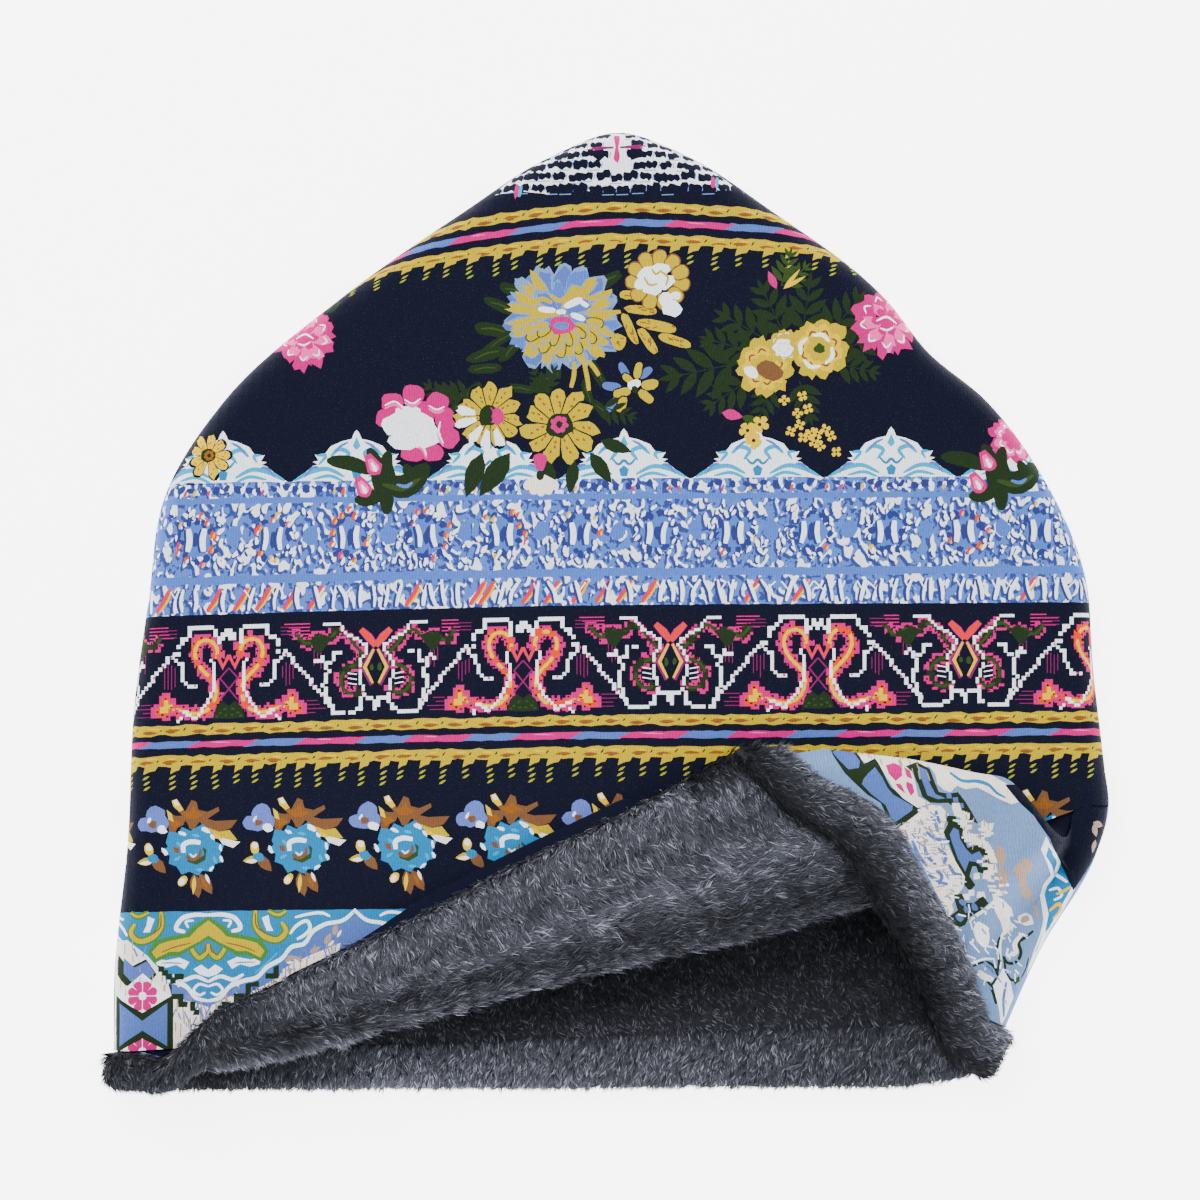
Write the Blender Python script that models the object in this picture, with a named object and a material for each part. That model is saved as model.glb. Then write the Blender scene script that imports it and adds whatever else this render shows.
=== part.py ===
"""A fleece-lined beanie laid flat on its back, with its front hem lifted and folded over.

The cloth is one sheet, worked out as its middle surface: a back panel on the ground, a front
panel over it, a flap of the front hem turned up over the front panel, and a corner piece that a
second fold turns back over the flap. The printed shell lies on the outer side of that surface,
the plush lining on its inner side, and a plush roll runs round the whole free edge.
Lengths are in metres. The crown points along +Y, and the hat lies on the plane z = 0.
"""

import math
from typing import NamedTuple

import bmesh
import bpy
import numpy as np
from mathutils import Vector

# Driving sizes
HEM_WIDTH = 0.280
CROWN_HEIGHT = 0.2635
SHELL_WALL = 0.0010
LINING_WALL = 0.0040
CLEARANCE = 0.0003
PLUSH_BEND = 0.00065
JERSEY_BEND = 0.00085
POCKET_LOFT = 0.0120
LOFT_SHOULDER = 0.075
LOFT_REACH = 0.170
FLAP_DEPTH = 0.036
ROLL_WIDTH = 0.0100
WIDE_ROLL_WIDTH = 0.0155
ROLL_OUTSIDE = 0.0034
ROLL_SHOULDER = 0.0020
HEM_LIFT_START = 0.034
HEM_LIFT_END = 0.014
SHELL_PEEK = 0.0010
EDGE_EVENING = 0.010
PLEAT_SQUEEZE = 0.60
SQUEEZE_NEAR = 0.022
SQUEEZE_FAR = 0.055
EASING_STEPS = 12

# Facets
TURN_FACETS = 4
BACK_RUNGS = (0.0, 0.06, 0.12, 0.45, 1.0)
FRONT_RUNGS = (0.0, 0.12, 0.35, 0.68, 1.0)
FLAP_RUNGS = (0.0, 0.5, 1.0)
CORNER_FACETS = 7


class Place(NamedTuple):
    """A point as shares: across of half the hem's width, up of the crown's height."""

    across: float
    up: float


class Depth(NamedTuple):
    """The flap's depth at a share of the way along its fold, as a share of its greatest depth."""

    along: float
    deep: float


class Roll(NamedTuple):
    """The free edge at a share of its length: how far it is turned out, and how wide it is."""

    along: float
    turned_out: float
    wide: float


# The hat's edge seen from above, from the left end of the hem round the tip to the right end.
OUTLINE = (
    Place(-0.999, 0.030),
    Place(-0.999, 0.106),
    Place(-0.972, 0.253),
    Place(-0.960, 0.390),
    Place(-0.930, 0.510),
    Place(-0.902, 0.610),
    Place(-0.780, 0.716),
    Place(-0.556, 0.821),
    Place(-0.311, 0.913),
    Place(-0.123, 0.976),
    Place(0.000, 0.999),
    Place(0.133, 0.976),
    Place(0.303, 0.918),
    Place(0.538, 0.821),
    Place(0.617, 0.768),
    Place(0.734, 0.716),
    Place(0.859, 0.624),
    Place(0.928, 0.537),
    Place(0.948, 0.426),
    Place(0.970, 0.327),
    Place(0.978, 0.288),
    Place(0.952, 0.236),
    Place(0.843, 0.137),
    Place(0.772, 0.055),
)
PLEAT_ROW = 20

# The fold that the front hem is turned up on, between its two ends on the outline.
FLAP_FOLD = (
    Place(-0.823, 0.036),
    Place(-0.434, 0.083),
    Place(-0.091, 0.132),
    Place(0.293, 0.180),
    Place(0.501, 0.211),
    Place(0.758, 0.255),
)

FLAP = (
    Depth(0.00, 0.00),
    Depth(0.03, 0.05),
    Depth(0.12, 0.05),
    Depth(0.154, 0.08),
    Depth(0.261, 0.24),
    Depth(0.375, 0.42),
    Depth(0.513, 0.65),
    Depth(0.630, 0.86),
    Depth(0.690, 0.97),
    Depth(0.757, 0.91),
    Depth(0.835, 0.57),
    Depth(0.870, 0.36),
    Depth(0.900, 0.15),
    Depth(0.920, 0.04),
    Depth(0.985, 0.00),
    Depth(1.000, 0.00),
)
FLAP_TURNED = 0.125
PLEAT_START = 0.690
PLEAT_SLANT = 0.050
PLEAT_FADE = 0.880
PLEAT_END = 0.985

# The edge of the printed cloth on the corner piece, from the flap's tip to the outline.
CORNER_EDGE = (
    Place(0.529, 0.280),
    Place(0.598, 0.217),
    Place(0.671, 0.154),
)

# The free edge, from the right end of the back hem to the left, over the flap and down the
# corner piece to where it began.
HEM_ROLL = (
    Roll(0.00, 1.0, 1.0),
    Roll(0.12, 1.0, 0.35),
    Roll(0.30, 1.0, 0.0),
    Roll(0.47, 1.0, 0.0),
    Roll(0.53, 0.0, 0.0),
    Roll(0.71, 0.0, 0.0),
    Roll(0.77, 1.0, 0.2),
    Roll(0.86, 1.0, 1.0),
    Roll(1.00, 1.0, 1.0),
)


def ease(share):
    """0 at 0 and 1 at 1, level at both ends."""
    share = np.clip(share, 0.0, 1.0)
    return share * share * (3.0 - 2.0 * share)


def placed(row):
    """A table row as a point in the plan."""
    return np.array(
        [row.across * HEM_WIDTH / 2, (row.up - 0.5) * CROWN_HEIGHT],
    )


def spline(points, spans=12):
    """A smooth line through the points, with tangents weighted by the spacing."""
    points = np.asarray(points, float)
    steps = np.linalg.norm(np.diff(points, axis=0), axis=1)
    slopes = np.diff(points, axis=0) / steps[:, None]
    tangents = np.empty_like(points)
    before, after = steps[:-1, None], steps[1:, None]
    tangents[1:-1] = (slopes[1:] * before + slopes[:-1] * after) / (before + after)
    tangents[0], tangents[-1] = slopes[0], slopes[-1]
    line = [points[:1]]
    share = np.linspace(0, 1, spans + 1)[1:, None]
    for i, step in enumerate(steps):
        line.append(
            (2 * share**3 - 3 * share**2 + 1) * points[i]
            + (share**3 - 2 * share**2 + share) * step * tangents[i]
            + (3 * share**2 - 2 * share**3) * points[i + 1]
            + (share**3 - share**2) * step * tangents[i + 1]
        )
    return np.concatenate(line)


class Line:
    """A line in the plan, read by the share of its length."""

    def __init__(self, points):
        self.points = np.asarray(points, float)
        steps = np.linalg.norm(np.diff(self.points, axis=0), axis=1)
        self.length = steps.sum()
        self.shares = np.concatenate([[0], np.cumsum(steps)]) / self.length
        along = np.gradient(self.points, self.shares, axis=0)
        along /= np.linalg.norm(along, axis=1)[:, None]
        self.lefts = np.column_stack([-along[:, 1], along[:, 0]])

    def read(self, columns, share):
        return np.column_stack(
            [np.interp(share, self.shares, column) for column in columns.T]
        )

    def at(self, share):
        return self.read(self.points, share)

    def left(self, share):
        """The unit vector to the left of the way along the line."""
        side = self.read(self.lefts, share)
        return side / np.linalg.norm(side, axis=1)[:, None]

    def distance(self, places):
        """How far each place is from the line."""
        start, run = self.points[:-1], np.diff(self.points, axis=0)
        reach = places[:, None] - start
        share = (reach * run).sum(2) / (run * run).sum(1)
        reach = reach - np.clip(share, 0, 1)[..., None] * run
        return np.linalg.norm(reach, axis=2).min(1)


PLUSH_DEPTH = CLEARANCE / 2 + LINING_WALL
JERSEY_DEPTH = CLEARANCE / 2 + SHELL_WALL
SIDE_RADIUS = PLUSH_DEPTH + PLUSH_BEND
FLAP_RADIUS = JERSEY_DEPTH + JERSEY_BEND
FLAP_CLEAR = ROLL_OUTSIDE + JERSEY_DEPTH + 2 * CLEARANCE
HEM_LIFT = ROLL_OUTSIDE - JERSEY_DEPTH


def inset_outline():
    """The line that the side fold turns on, and the share of it where the pleat meets it."""
    spans = 12
    edge = Line(spline([placed(row) for row in OUTLINE], spans))
    inset = Line(
        edge.points - edge.lefts * (SIDE_RADIUS + JERSEY_DEPTH),
    )
    return inset, PLEAT_ROW * spans


SIDE, PLEAT_POINT = inset_outline()
UPPER_SIDE = Line(SIDE.points[: PLEAT_POINT + 1])
LOWER_SIDE = Line(SIDE.points[PLEAT_POINT:])
FOLD = Line(
    spline([UPPER_SIDE.points[0]] + [placed(row) for row in FLAP_FOLD] + [UPPER_SIDE.points[-1]])
)


def lining_wall(places):
    """The lining's thickness: squeezed where the pleat meets the side fold."""
    apart = np.linalg.norm(places[:, :2] - UPPER_SIDE.points[-1], axis=1)
    near = ease((SQUEEZE_FAR - apart) / (SQUEEZE_FAR - SQUEEZE_NEAR))
    return LINING_WALL * (1 - PLEAT_SQUEEZE * near)


def back_height(places):
    """The back panel's middle surface: flat on the ground, raised a little over the hem's roll."""
    above = places[:, 1] + CROWN_HEIGHT / 2
    rise = (HEM_LIFT_START - above) / (HEM_LIFT_START - HEM_LIFT_END)
    return JERSEY_DEPTH + HEM_LIFT * ease(rise)


def above_fold(places):
    """How far a place is up the hat from the flap's fold, along Y."""
    order = FOLD.points
    return places[:, 1] - np.interp(places[:, 0], order[:, 0], order[:, 1])


def front_height(places):
    """The front panel's middle surface: a side fold above the back, and lofted over the pocket."""
    shoulder = ease(SIDE.distance(places) / LOFT_SHOULDER)
    fall = 1 - ease(above_fold(places) / LOFT_REACH)
    return back_height(places) + 2 * SIDE_RADIUS + POCKET_LOFT * shoulder * fall


def flap_depth(share):
    rows = np.array(FLAP)
    deep = np.interp(share, rows[:, 0], rows[:, 1])
    return FLAP_DEPTH * deep


def flap_angle(share):
    """How far the flap is turned over at a share of its fold: half a turn between its ends."""
    rising = ease(share / FLAP_TURNED)
    falling = ease((PLEAT_END - share) / (PLEAT_END - PLEAT_FADE))
    return math.pi * np.minimum(rising, falling)


def section(share, turned, straight, second):
    """Points across the flap at shares of its fold.

    turned is the share of the first fold that is gone round, straight that of the flap's depth,
    and second that of the pleat's fold.
    """
    angle = flap_angle(share)
    depth = flap_depth(share)
    first = angle * turned
    last = angle * (1 - second)
    forward = FLAP_RADIUS * np.sin(first) + depth * straight * np.cos(angle)
    upward = FLAP_RADIUS * (1 - np.cos(first)) + depth * straight * np.sin(angle)
    start = FOLD.at(share)
    crest = start - FOLD.left(share) * (depth * np.cos(angle))[:, None]
    thickest = np.maximum(lining_wall(start), lining_wall(crest))
    pleat_radius = CLEARANCE / 2 + thickest + PLUSH_BEND
    forward += pleat_radius * (np.sin(angle) - np.sin(last))
    upward += pleat_radius * (np.cos(last) - np.cos(angle))
    plan = start - FOLD.left(share) * forward[:, None]
    lying = ((1 - np.cos(angle)) / 2) ** 2
    flat = start - FOLD.left(share) * (depth * straight * np.cos(angle))[:, None]
    height = front_height(start) + upward
    height += lying * (front_height(flat) - front_height(start))
    height += lying * ease(straight) * (FLAP_CLEAR - 2 * FLAP_RADIUS)
    return np.column_stack([plan, height])


def fold_shares():
    """Shares of the flap's fold, closer together where the cloth turns over or fades."""
    return np.concatenate(
        [
            np.linspace(0, FLAP_TURNED, 8)[:-1],
            np.linspace(FLAP_TURNED, PLEAT_START, 23)[:-1],
            np.linspace(PLEAT_START, PLEAT_FADE, 11)[:-1],
            np.linspace(PLEAT_FADE, PLEAT_END, 8)[:-1],
            np.linspace(PLEAT_END, 1, 3),
        ]
    )


def grid(rows):
    return np.stack(rows, axis=1)


def back_panel(side_places, shares):
    start, end = SIDE.points[0], SIDE.points[-1]
    hem = start + shares[:, None] * (end - start)
    rungs = [hem + step * (side_places - hem) for step in BACK_RUNGS]
    return grid([np.column_stack([rung, back_height(rung)]) for rung in rungs])


def side_turn(places, outward):
    """The half turn from the back panel up to the panel above it."""
    rows = []
    for facet in range(TURN_FACETS + 1):
        angle = math.pi * facet / TURN_FACETS
        plan = places + outward * SIDE_RADIUS * math.sin(angle)
        height = back_height(places) + SIDE_RADIUS * (1 - math.cos(angle))
        rows.append(np.column_stack([plan, height]))
    return grid(rows)


def front_panel(shares):
    start, end = FOLD.at(shares), UPPER_SIDE.at(shares)
    rungs = [start + step * (end - start) for step in FRONT_RUNGS]
    return grid([np.column_stack([rung, front_height(rung)]) for rung in rungs])


def flap_turn(shares):
    steps = np.linspace(0, 1, TURN_FACETS)
    return grid([section(shares, step, 0.0, 0.0) for step in steps])


def flap(shares):
    return grid([section(shares, 1.0, step, 0.0) for step in FLAP_RUNGS])


def pleat_shares(shares, step):
    """The hem crosses the pleat's fold at a slant, which fades along the fold."""
    left = np.clip((PLEAT_FADE - shares) / (PLEAT_FADE - PLEAT_START), 0, 1)
    return shares + PLEAT_SLANT * step * left


def pleat_turn(shares):
    steps = np.linspace(0, 1, TURN_FACETS + 1)
    return grid([section(pleat_shares(shares, step), 1.0, 1.0, step) for step in steps])


def corner_piece(shares):
    """The corner, from the pleat's fold down to its free edge and to the side fold."""
    top = section(pleat_shares(shares, 1.0), 1.0, 1.0, 1.0)
    edge = Line(
        spline([top[0, :2]] + [placed(row) for row in CORNER_EDGE] + [LOWER_SIDE.points[-1]])
    )
    across = (shares - shares[0]) / (shares[-1] - shares[0])
    low = edge.at(across)
    side = LOWER_SIDE.at(np.linspace(0, 1, CORNER_FACETS + 1))
    chord = np.linspace(side[0], side[-1], CORNER_FACETS + 1)
    rows = []
    for facet in range(CORNER_FACETS + 1):
        step = facet / CORNER_FACETS
        plan = top[:, :2] + step * (low - top[:, :2])
        plan = plan + across[:, None] ** 2 * (side[facet] - chord[facet])
        rows.append(np.column_stack([plan, corner_height(plan, top)]))
    rows[0] = top
    return grid(rows)


def corner_height(plan, top):
    """High over the flap, and falling to the side fold past the flap's own fold."""
    ground = back_height(plan) + 2 * SIDE_RADIUS
    turned = FLAP_RADIUS + 2 * lining_wall(plan)
    past = np.maximum(0, -above_fold(plan) - turned)
    inside = LOWER_SIDE.distance(plan)
    share = inside / np.maximum(inside + past, 1e-9)
    near_side = inside < 1e-7
    share[near_side] = 0.0
    return ground + (top[:, 2] - ground) * ease(share)


def sheet():
    """The middle surface as one mesh with its faces turned to the printed side."""
    shares = fold_shares()
    pleated = shares[shares >= PLEAT_START - 1e-9]
    low = np.linspace(0, 1, CORNER_FACETS + 1)
    places = np.concatenate([UPPER_SIDE.at(shares), LOWER_SIDE.at(low)[1:]])
    outward = np.concatenate([UPPER_SIDE.left(shares), LOWER_SIDE.left(low)[1:]])
    run = np.concatenate([[0], np.cumsum(np.linalg.norm(np.diff(places, axis=0), axis=1))])
    patches = (
        back_panel(places, run / run[-1]),
        side_turn(places, outward),
        front_panel(shares),
        flap_turn(shares),
        flap(shares),
        pleat_turn(pleated),
        corner_piece(pleated),
    )
    mesh = bmesh.new()
    for patch in patches:
        points = [[mesh.verts.new(point) for point in row] for row in patch]
        for near, far in zip(points, points[1:]):
            for a, b, c, d in zip(near, near[1:], far[1:], far):
                mesh.faces.new((a, b, c, d))
    bmesh.ops.remove_doubles(mesh, verts=mesh.verts, dist=2e-6)
    bmesh.ops.recalc_face_normals(mesh, faces=mesh.faces)
    bmesh.ops.triangulate(mesh, faces=mesh.faces, quad_method="SHORT_EDGE")
    lowest = min(mesh.faces, key=lambda face: face.calc_center_median().z)
    if lowest.normal.z > 0:
        bmesh.ops.reverse_faces(mesh, faces=mesh.faces)
    mesh.normal_update()
    return mesh


class Cloth:
    """The middle surface's points, normals and triangles, and its free edge in order."""

    def __init__(self, mesh):
        mesh.verts.index_update()
        mesh.verts.ensure_lookup_table()
        self.points = np.array([vert.co for vert in mesh.verts])
        self.normals = np.array([vert.normal for vert in mesh.verts])
        self.faces = [tuple(vert.index for vert in face.verts) for face in mesh.faces]
        self.plush = self.eased(mesh)
        self.edge = self.walk(mesh)
        rim = self.points[self.edge]
        along = np.roll(rim, -1, axis=0) - np.roll(rim, 1, axis=0)
        out = np.cross(along, self.normals[self.edge])
        out /= np.linalg.norm(out, axis=1)[:, None]
        steps = np.linalg.norm(np.roll(rim, -1, axis=0) - rim, axis=1)
        length = steps.sum()
        run = np.concatenate([[0], np.cumsum(steps)[:-1]])
        self.shares = run / length
        apart = np.abs(run[:, None] - run)
        apart = np.minimum(apart, length - apart)
        weights = np.exp(-((apart / EDGE_EVENING) ** 2)) * (steps + np.roll(steps, 1))
        self.out = weights @ out
        self.out /= np.linalg.norm(self.out, axis=1)[:, None]

    def eased(self, mesh):
        """The way the plush stands: the normals, evened and shortened where it is squeezed."""
        pairs = np.array([[vert.index for vert in edge.verts] for edge in mesh.edges])
        share = 1 - lining_wall(self.points) / LINING_WALL
        share = (share / PLEAT_SQUEEZE)[:, None]
        number = np.bincount(pairs.ravel(), minlength=len(self.points))[:, None]
        stand = self.normals
        for _ in range(EASING_STEPS):
            total = np.zeros_like(stand)
            np.add.at(total, pairs[:, 0], stand[pairs[:, 1]])
            np.add.at(total, pairs[:, 1], stand[pairs[:, 0]])
            stand = stand + share * (total / number - stand) / 2
        return stand

    @staticmethod
    def walk(mesh):
        """The free edge from the back hem's right end, in the order of its own faces."""
        after = {}
        for edge in mesh.edges:
            if edge.is_boundary:
                loop = edge.link_loops[0]
                after[loop.vert.index] = loop.link_loop_next.vert.index
        corner = SIDE.points[-1]
        ground = Vector((*corner, back_height(corner[None])[0]))
        start = min(after, key=lambda i: (mesh.verts[i].co - ground).length)
        order = [start]
        while after[order[-1]] != start:
            order.append(after[order[-1]])
        return order


def rolled(shares):
    """How far out the hem is turned, and its width, at shares of the free edge."""
    rows = np.array(HEM_ROLL)
    turned = np.interp(shares, rows[:, 0], rows[:, 1])
    wide = np.interp(shares, rows[:, 0], rows[:, 2])
    width = ROLL_WIDTH + wide * (WIDE_ROLL_WIDTH - ROLL_WIDTH)
    return turned, width


def solid(name, points, faces, material):
    mesh = bpy.data.meshes.new(name)
    mesh.from_pydata([tuple(point) for point in points], [], faces)
    mesh.shade_smooth()
    mesh.set_sharp_from_angle(angle=math.radians(50))
    mesh.materials.append(material)
    thing = bpy.data.objects.new(name, mesh)
    bpy.context.scene.collection.objects.link(thing)
    return thing


def split(points, a, b, c, d):
    """A quad as two triangles, cut on its shorter diagonal."""
    if np.linalg.norm(points[a] - points[c]) <= np.linalg.norm(points[b] - points[d]):
        return (a, b, c), (a, c, d)
    return (a, b, d), (b, c, d)


def layer(name, cloth, inner, outer, reach, material):
    """A wall between two depths of the middle surface, with a rim carried out by reach."""
    rim = cloth.points[cloth.edge] + cloth.out * reach[:, None]
    points = np.concatenate([cloth.points, rim])
    normals = np.concatenate([cloth.normals, cloth.normals[cloth.edge]])
    count, first = len(points), len(cloth.points)
    if inner is None:
        plush = np.concatenate([cloth.plush, cloth.plush[cloth.edge]])
        under = -CLEARANCE / 2 * normals - lining_wall(points)[:, None] * plush
    else:
        under = inner * normals
    both = np.concatenate([points + outer * normals, points + under])
    sides = list(cloth.faces)
    stations = len(cloth.edge)
    for i in range(stations):
        j = (i + 1) % stations
        a, b = cloth.edge[i], cloth.edge[j]
        sides.append((b, a, first + i))
        sides.append((b, first + i, first + j))
    faces = sides + [tuple(i + count for i in reversed(face)) for face in sides]
    for i in range(stations):
        a, b = first + i, first + (i + 1) % stations
        faces.extend(split(both, b, a, a + count, b + count))
    return solid(name, both, faces, material)


def roll_sections(turned, width):
    """The roll's section at each station, as steps outward and along the normal."""
    outer = -CLEARANCE / 2 + turned * (ROLL_OUTSIDE + CLEARANCE / 2)
    seam = -CLEARANCE / 2 + turned * (JERSEY_DEPTH + CLEARANCE / 2)
    inner = np.full_like(outer, -PLUSH_DEPTH)
    middle, half = (outer + inner) / 2, (outer - inner) / 2
    start = np.full_like(outer, 2 * CLEARANCE)
    shoulder = start + ROLL_SHOULDER
    bend = np.minimum(half, 0.45 * width)
    diagonal = math.sqrt(0.5)
    return (
        (start, seam),
        (shoulder, outer),
        (width - bend, outer),
        (width - bend * (1 - diagonal), middle + half * diagonal),
        (width, middle),
        (width - bend * (1 - diagonal), middle - half * diagonal),
        (width - bend, inner),
        (start, inner),
    )


def hem_roll(cloth, material):
    turned, width = rolled(cloth.shares)
    turned = ease(2 * turned - 1)
    rim, normals = cloth.points[cloth.edge], cloth.normals[cloth.edge]
    rows = [
        rim + outward[:, None] * cloth.out + upward[:, None] * normals
        for outward, upward in roll_sections(turned, width)
    ]
    ring = np.stack(rows, axis=1)
    stations, sides = ring.shape[:2]
    points = ring.reshape(-1, 3)
    faces = []
    for i in range(stations):
        near, far = i * sides, (i + 1) % stations * sides
        for j in range(sides):
            k = (j + 1) % sides
            faces.extend(split(points, near + j, near + k, far + k, far + j))
    return solid("plush_hem_roll", points, faces, material)


def finish(name, colour, roughness):
    material = bpy.data.materials.new(name)
    material.use_nodes = True
    shader = material.node_tree.nodes["Principled BSDF"]
    shader.inputs["Base Color"].default_value = (*colour, 1.0)
    shader.inputs["Roughness"].default_value = roughness
    shader.inputs["Metallic"].default_value = 0.0
    return material


def clear_scene():
    for thing in list(bpy.data.objects):
        bpy.data.objects.remove(thing, do_unlink=True)


def main():
    clear_scene()
    mesh = sheet()
    cloth = Cloth(mesh)
    mesh.free()
    jersey = finish("printed_jersey", (0.030, 0.035, 0.085), 0.85)
    plush = finish("grey_plush", (0.060, 0.063, 0.075), 0.95)
    turned, width = rolled(cloth.shares)
    seam = np.full_like(turned, CLEARANCE)
    peek = seam + ease(1 - 2 * turned) * (width + SHELL_PEEK - CLEARANCE)
    layer("printed_shell", cloth, CLEARANCE / 2, JERSEY_DEPTH, peek, jersey)
    layer("fleece_lining", cloth, None, -CLEARANCE / 2, seam, plush)
    hem_roll(cloth, plush)


main()
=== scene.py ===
"""The looks of a fleece-lined beanie that lies flat with its front hem folded back.

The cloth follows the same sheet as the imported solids: a back panel, a front panel over it, a flap
of the front hem turned up, and a corner that is turned back over the flap. The print is drawn as
flat shapes on charts of the cloth and laid on it; the plush is a fine pile of short strands.
"""

import math
from typing import NamedTuple

import bmesh
import bpy
import numpy as np
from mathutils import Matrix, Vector
from mathutils.bvhtree import BVHTree
from mathutils.geometry import delaunay_2d_cdt
from mathutils.kdtree import KDTree


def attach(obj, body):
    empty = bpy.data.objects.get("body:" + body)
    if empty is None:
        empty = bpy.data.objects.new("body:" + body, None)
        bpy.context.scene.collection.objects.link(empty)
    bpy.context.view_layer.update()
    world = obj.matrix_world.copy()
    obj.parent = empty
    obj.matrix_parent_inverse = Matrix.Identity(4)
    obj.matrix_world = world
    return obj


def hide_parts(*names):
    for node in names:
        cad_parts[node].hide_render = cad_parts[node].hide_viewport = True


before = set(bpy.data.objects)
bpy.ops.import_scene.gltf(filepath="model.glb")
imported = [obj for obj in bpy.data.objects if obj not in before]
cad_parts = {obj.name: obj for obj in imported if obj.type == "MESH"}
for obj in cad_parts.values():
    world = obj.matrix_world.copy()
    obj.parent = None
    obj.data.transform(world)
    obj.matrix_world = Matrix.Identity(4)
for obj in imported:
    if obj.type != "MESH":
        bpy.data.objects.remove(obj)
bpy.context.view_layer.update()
chance = np.random.default_rng(11)

# The hat's sizes, in metres, as the solids have them
HEM_WIDTH = 0.280
CROWN_HEIGHT = 0.2635
SHELL_WALL = 0.0010
LINING_WALL = 0.0040
CLEARANCE = 0.0003
PLUSH_BEND = 0.00065
JERSEY_BEND = 0.00085
POCKET_LOFT = 0.0120
LOFT_SHOULDER = 0.075
LOFT_REACH = 0.170
FLAP_DEPTH = 0.036
ROLL_WIDTH = 0.0100
WIDE_ROLL_WIDTH = 0.0155
ROLL_OUTSIDE = 0.0034
HEM_LIFT_START = 0.034
HEM_LIFT_END = 0.014
PLEAT_SQUEEZE = 0.60
SQUEEZE_NEAR = 0.022
SQUEEZE_FAR = 0.055
FLAP_TURNED = 0.125
PLEAT_START = 0.690
PLEAT_SLANT = 0.050
PLEAT_FADE = 0.920
PLEAT_END = 0.985
PLEAT_ROW = 20

PLUSH_DEPTH = CLEARANCE / 2 + LINING_WALL
JERSEY_DEPTH = CLEARANCE / 2 + SHELL_WALL
SIDE_RADIUS = PLUSH_DEPTH + PLUSH_BEND
FLAP_RADIUS = JERSEY_DEPTH + JERSEY_BEND
FLAP_CLEAR = ROLL_OUTSIDE + JERSEY_DEPTH + 2 * CLEARANCE
HEM_LIFT = ROLL_OUTSIDE - JERSEY_DEPTH


class Place(NamedTuple):
    """A point as shares: across of half the hem's width, up of the crown's height."""

    across: float
    up: float


OUTLINE = (
    Place(-0.999, 0.030),
    Place(-0.999, 0.106),
    Place(-0.972, 0.253),
    Place(-0.960, 0.390),
    Place(-0.930, 0.510),
    Place(-0.902, 0.610),
    Place(-0.780, 0.716),
    Place(-0.556, 0.821),
    Place(-0.311, 0.913),
    Place(-0.123, 0.976),
    Place(0.000, 0.999),
    Place(0.133, 0.976),
    Place(0.303, 0.918),
    Place(0.538, 0.821),
    Place(0.617, 0.768),
    Place(0.734, 0.716),
    Place(0.859, 0.624),
    Place(0.928, 0.537),
    Place(0.948, 0.426),
    Place(0.970, 0.327),
    Place(0.978, 0.288),
    Place(0.952, 0.236),
    Place(0.843, 0.137),
    Place(0.772, 0.055),
)
FLAP_FOLD = (
    Place(-0.823, 0.036),
    Place(-0.434, 0.083),
    Place(-0.091, 0.132),
    Place(0.293, 0.180),
    Place(0.501, 0.211),
    Place(0.758, 0.255),
)
CORNER_EDGE = (
    Place(0.529, 0.280),
    Place(0.598, 0.217),
    Place(0.671, 0.154),
)
FLAP = np.array(
    [
        (0.00, 0.00),
        (0.03, 0.05),
        (0.12, 0.05),
        (0.154, 0.08),
        (0.261, 0.24),
        (0.375, 0.42),
        (0.513, 0.65),
        (0.630, 0.86),
        (0.690, 0.97),
        (0.757, 0.91),
        (0.835, 0.66),
        (0.870, 0.54),
        (0.900, 0.43),
        (0.930, 0.33),
        (0.960, 0.18),
        (0.985, 0.00),
        (1.000, 0.00),
    ]
)


def ease(share):
    """0 at 0 and 1 at 1, level at both ends."""
    share = np.clip(share, 0.0, 1.0)
    return share * share * (3.0 - 2.0 * share)


def unit(vectors):
    return vectors / np.maximum(np.linalg.norm(vectors, axis=-1, keepdims=True), 1e-12)


def placed(row):
    return np.array([row.across * HEM_WIDTH / 2, (row.up - 0.5) * CROWN_HEIGHT])


def spline(points, spans=12):
    """A smooth line through the points, with tangents weighted by the spacing."""
    points = np.asarray(points, float)
    steps = np.linalg.norm(np.diff(points, axis=0), axis=1)
    slopes = np.diff(points, axis=0) / steps[:, None]
    tangents = np.empty_like(points)
    before, after = steps[:-1, None], steps[1:, None]
    tangents[1:-1] = (slopes[1:] * before + slopes[:-1] * after) / (before + after)
    tangents[0], tangents[-1] = slopes[0], slopes[-1]
    line = [points[:1]]
    share = np.linspace(0, 1, spans + 1)[1:, None]
    for i, step in enumerate(steps):
        line.append(
            (2 * share**3 - 3 * share**2 + 1) * points[i]
            + (share**3 - 2 * share**2 + share) * step * tangents[i]
            + (3 * share**2 - 2 * share**3) * points[i + 1]
            + (share**3 - share**2) * step * tangents[i + 1]
        )
    return np.concatenate(line)


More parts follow.
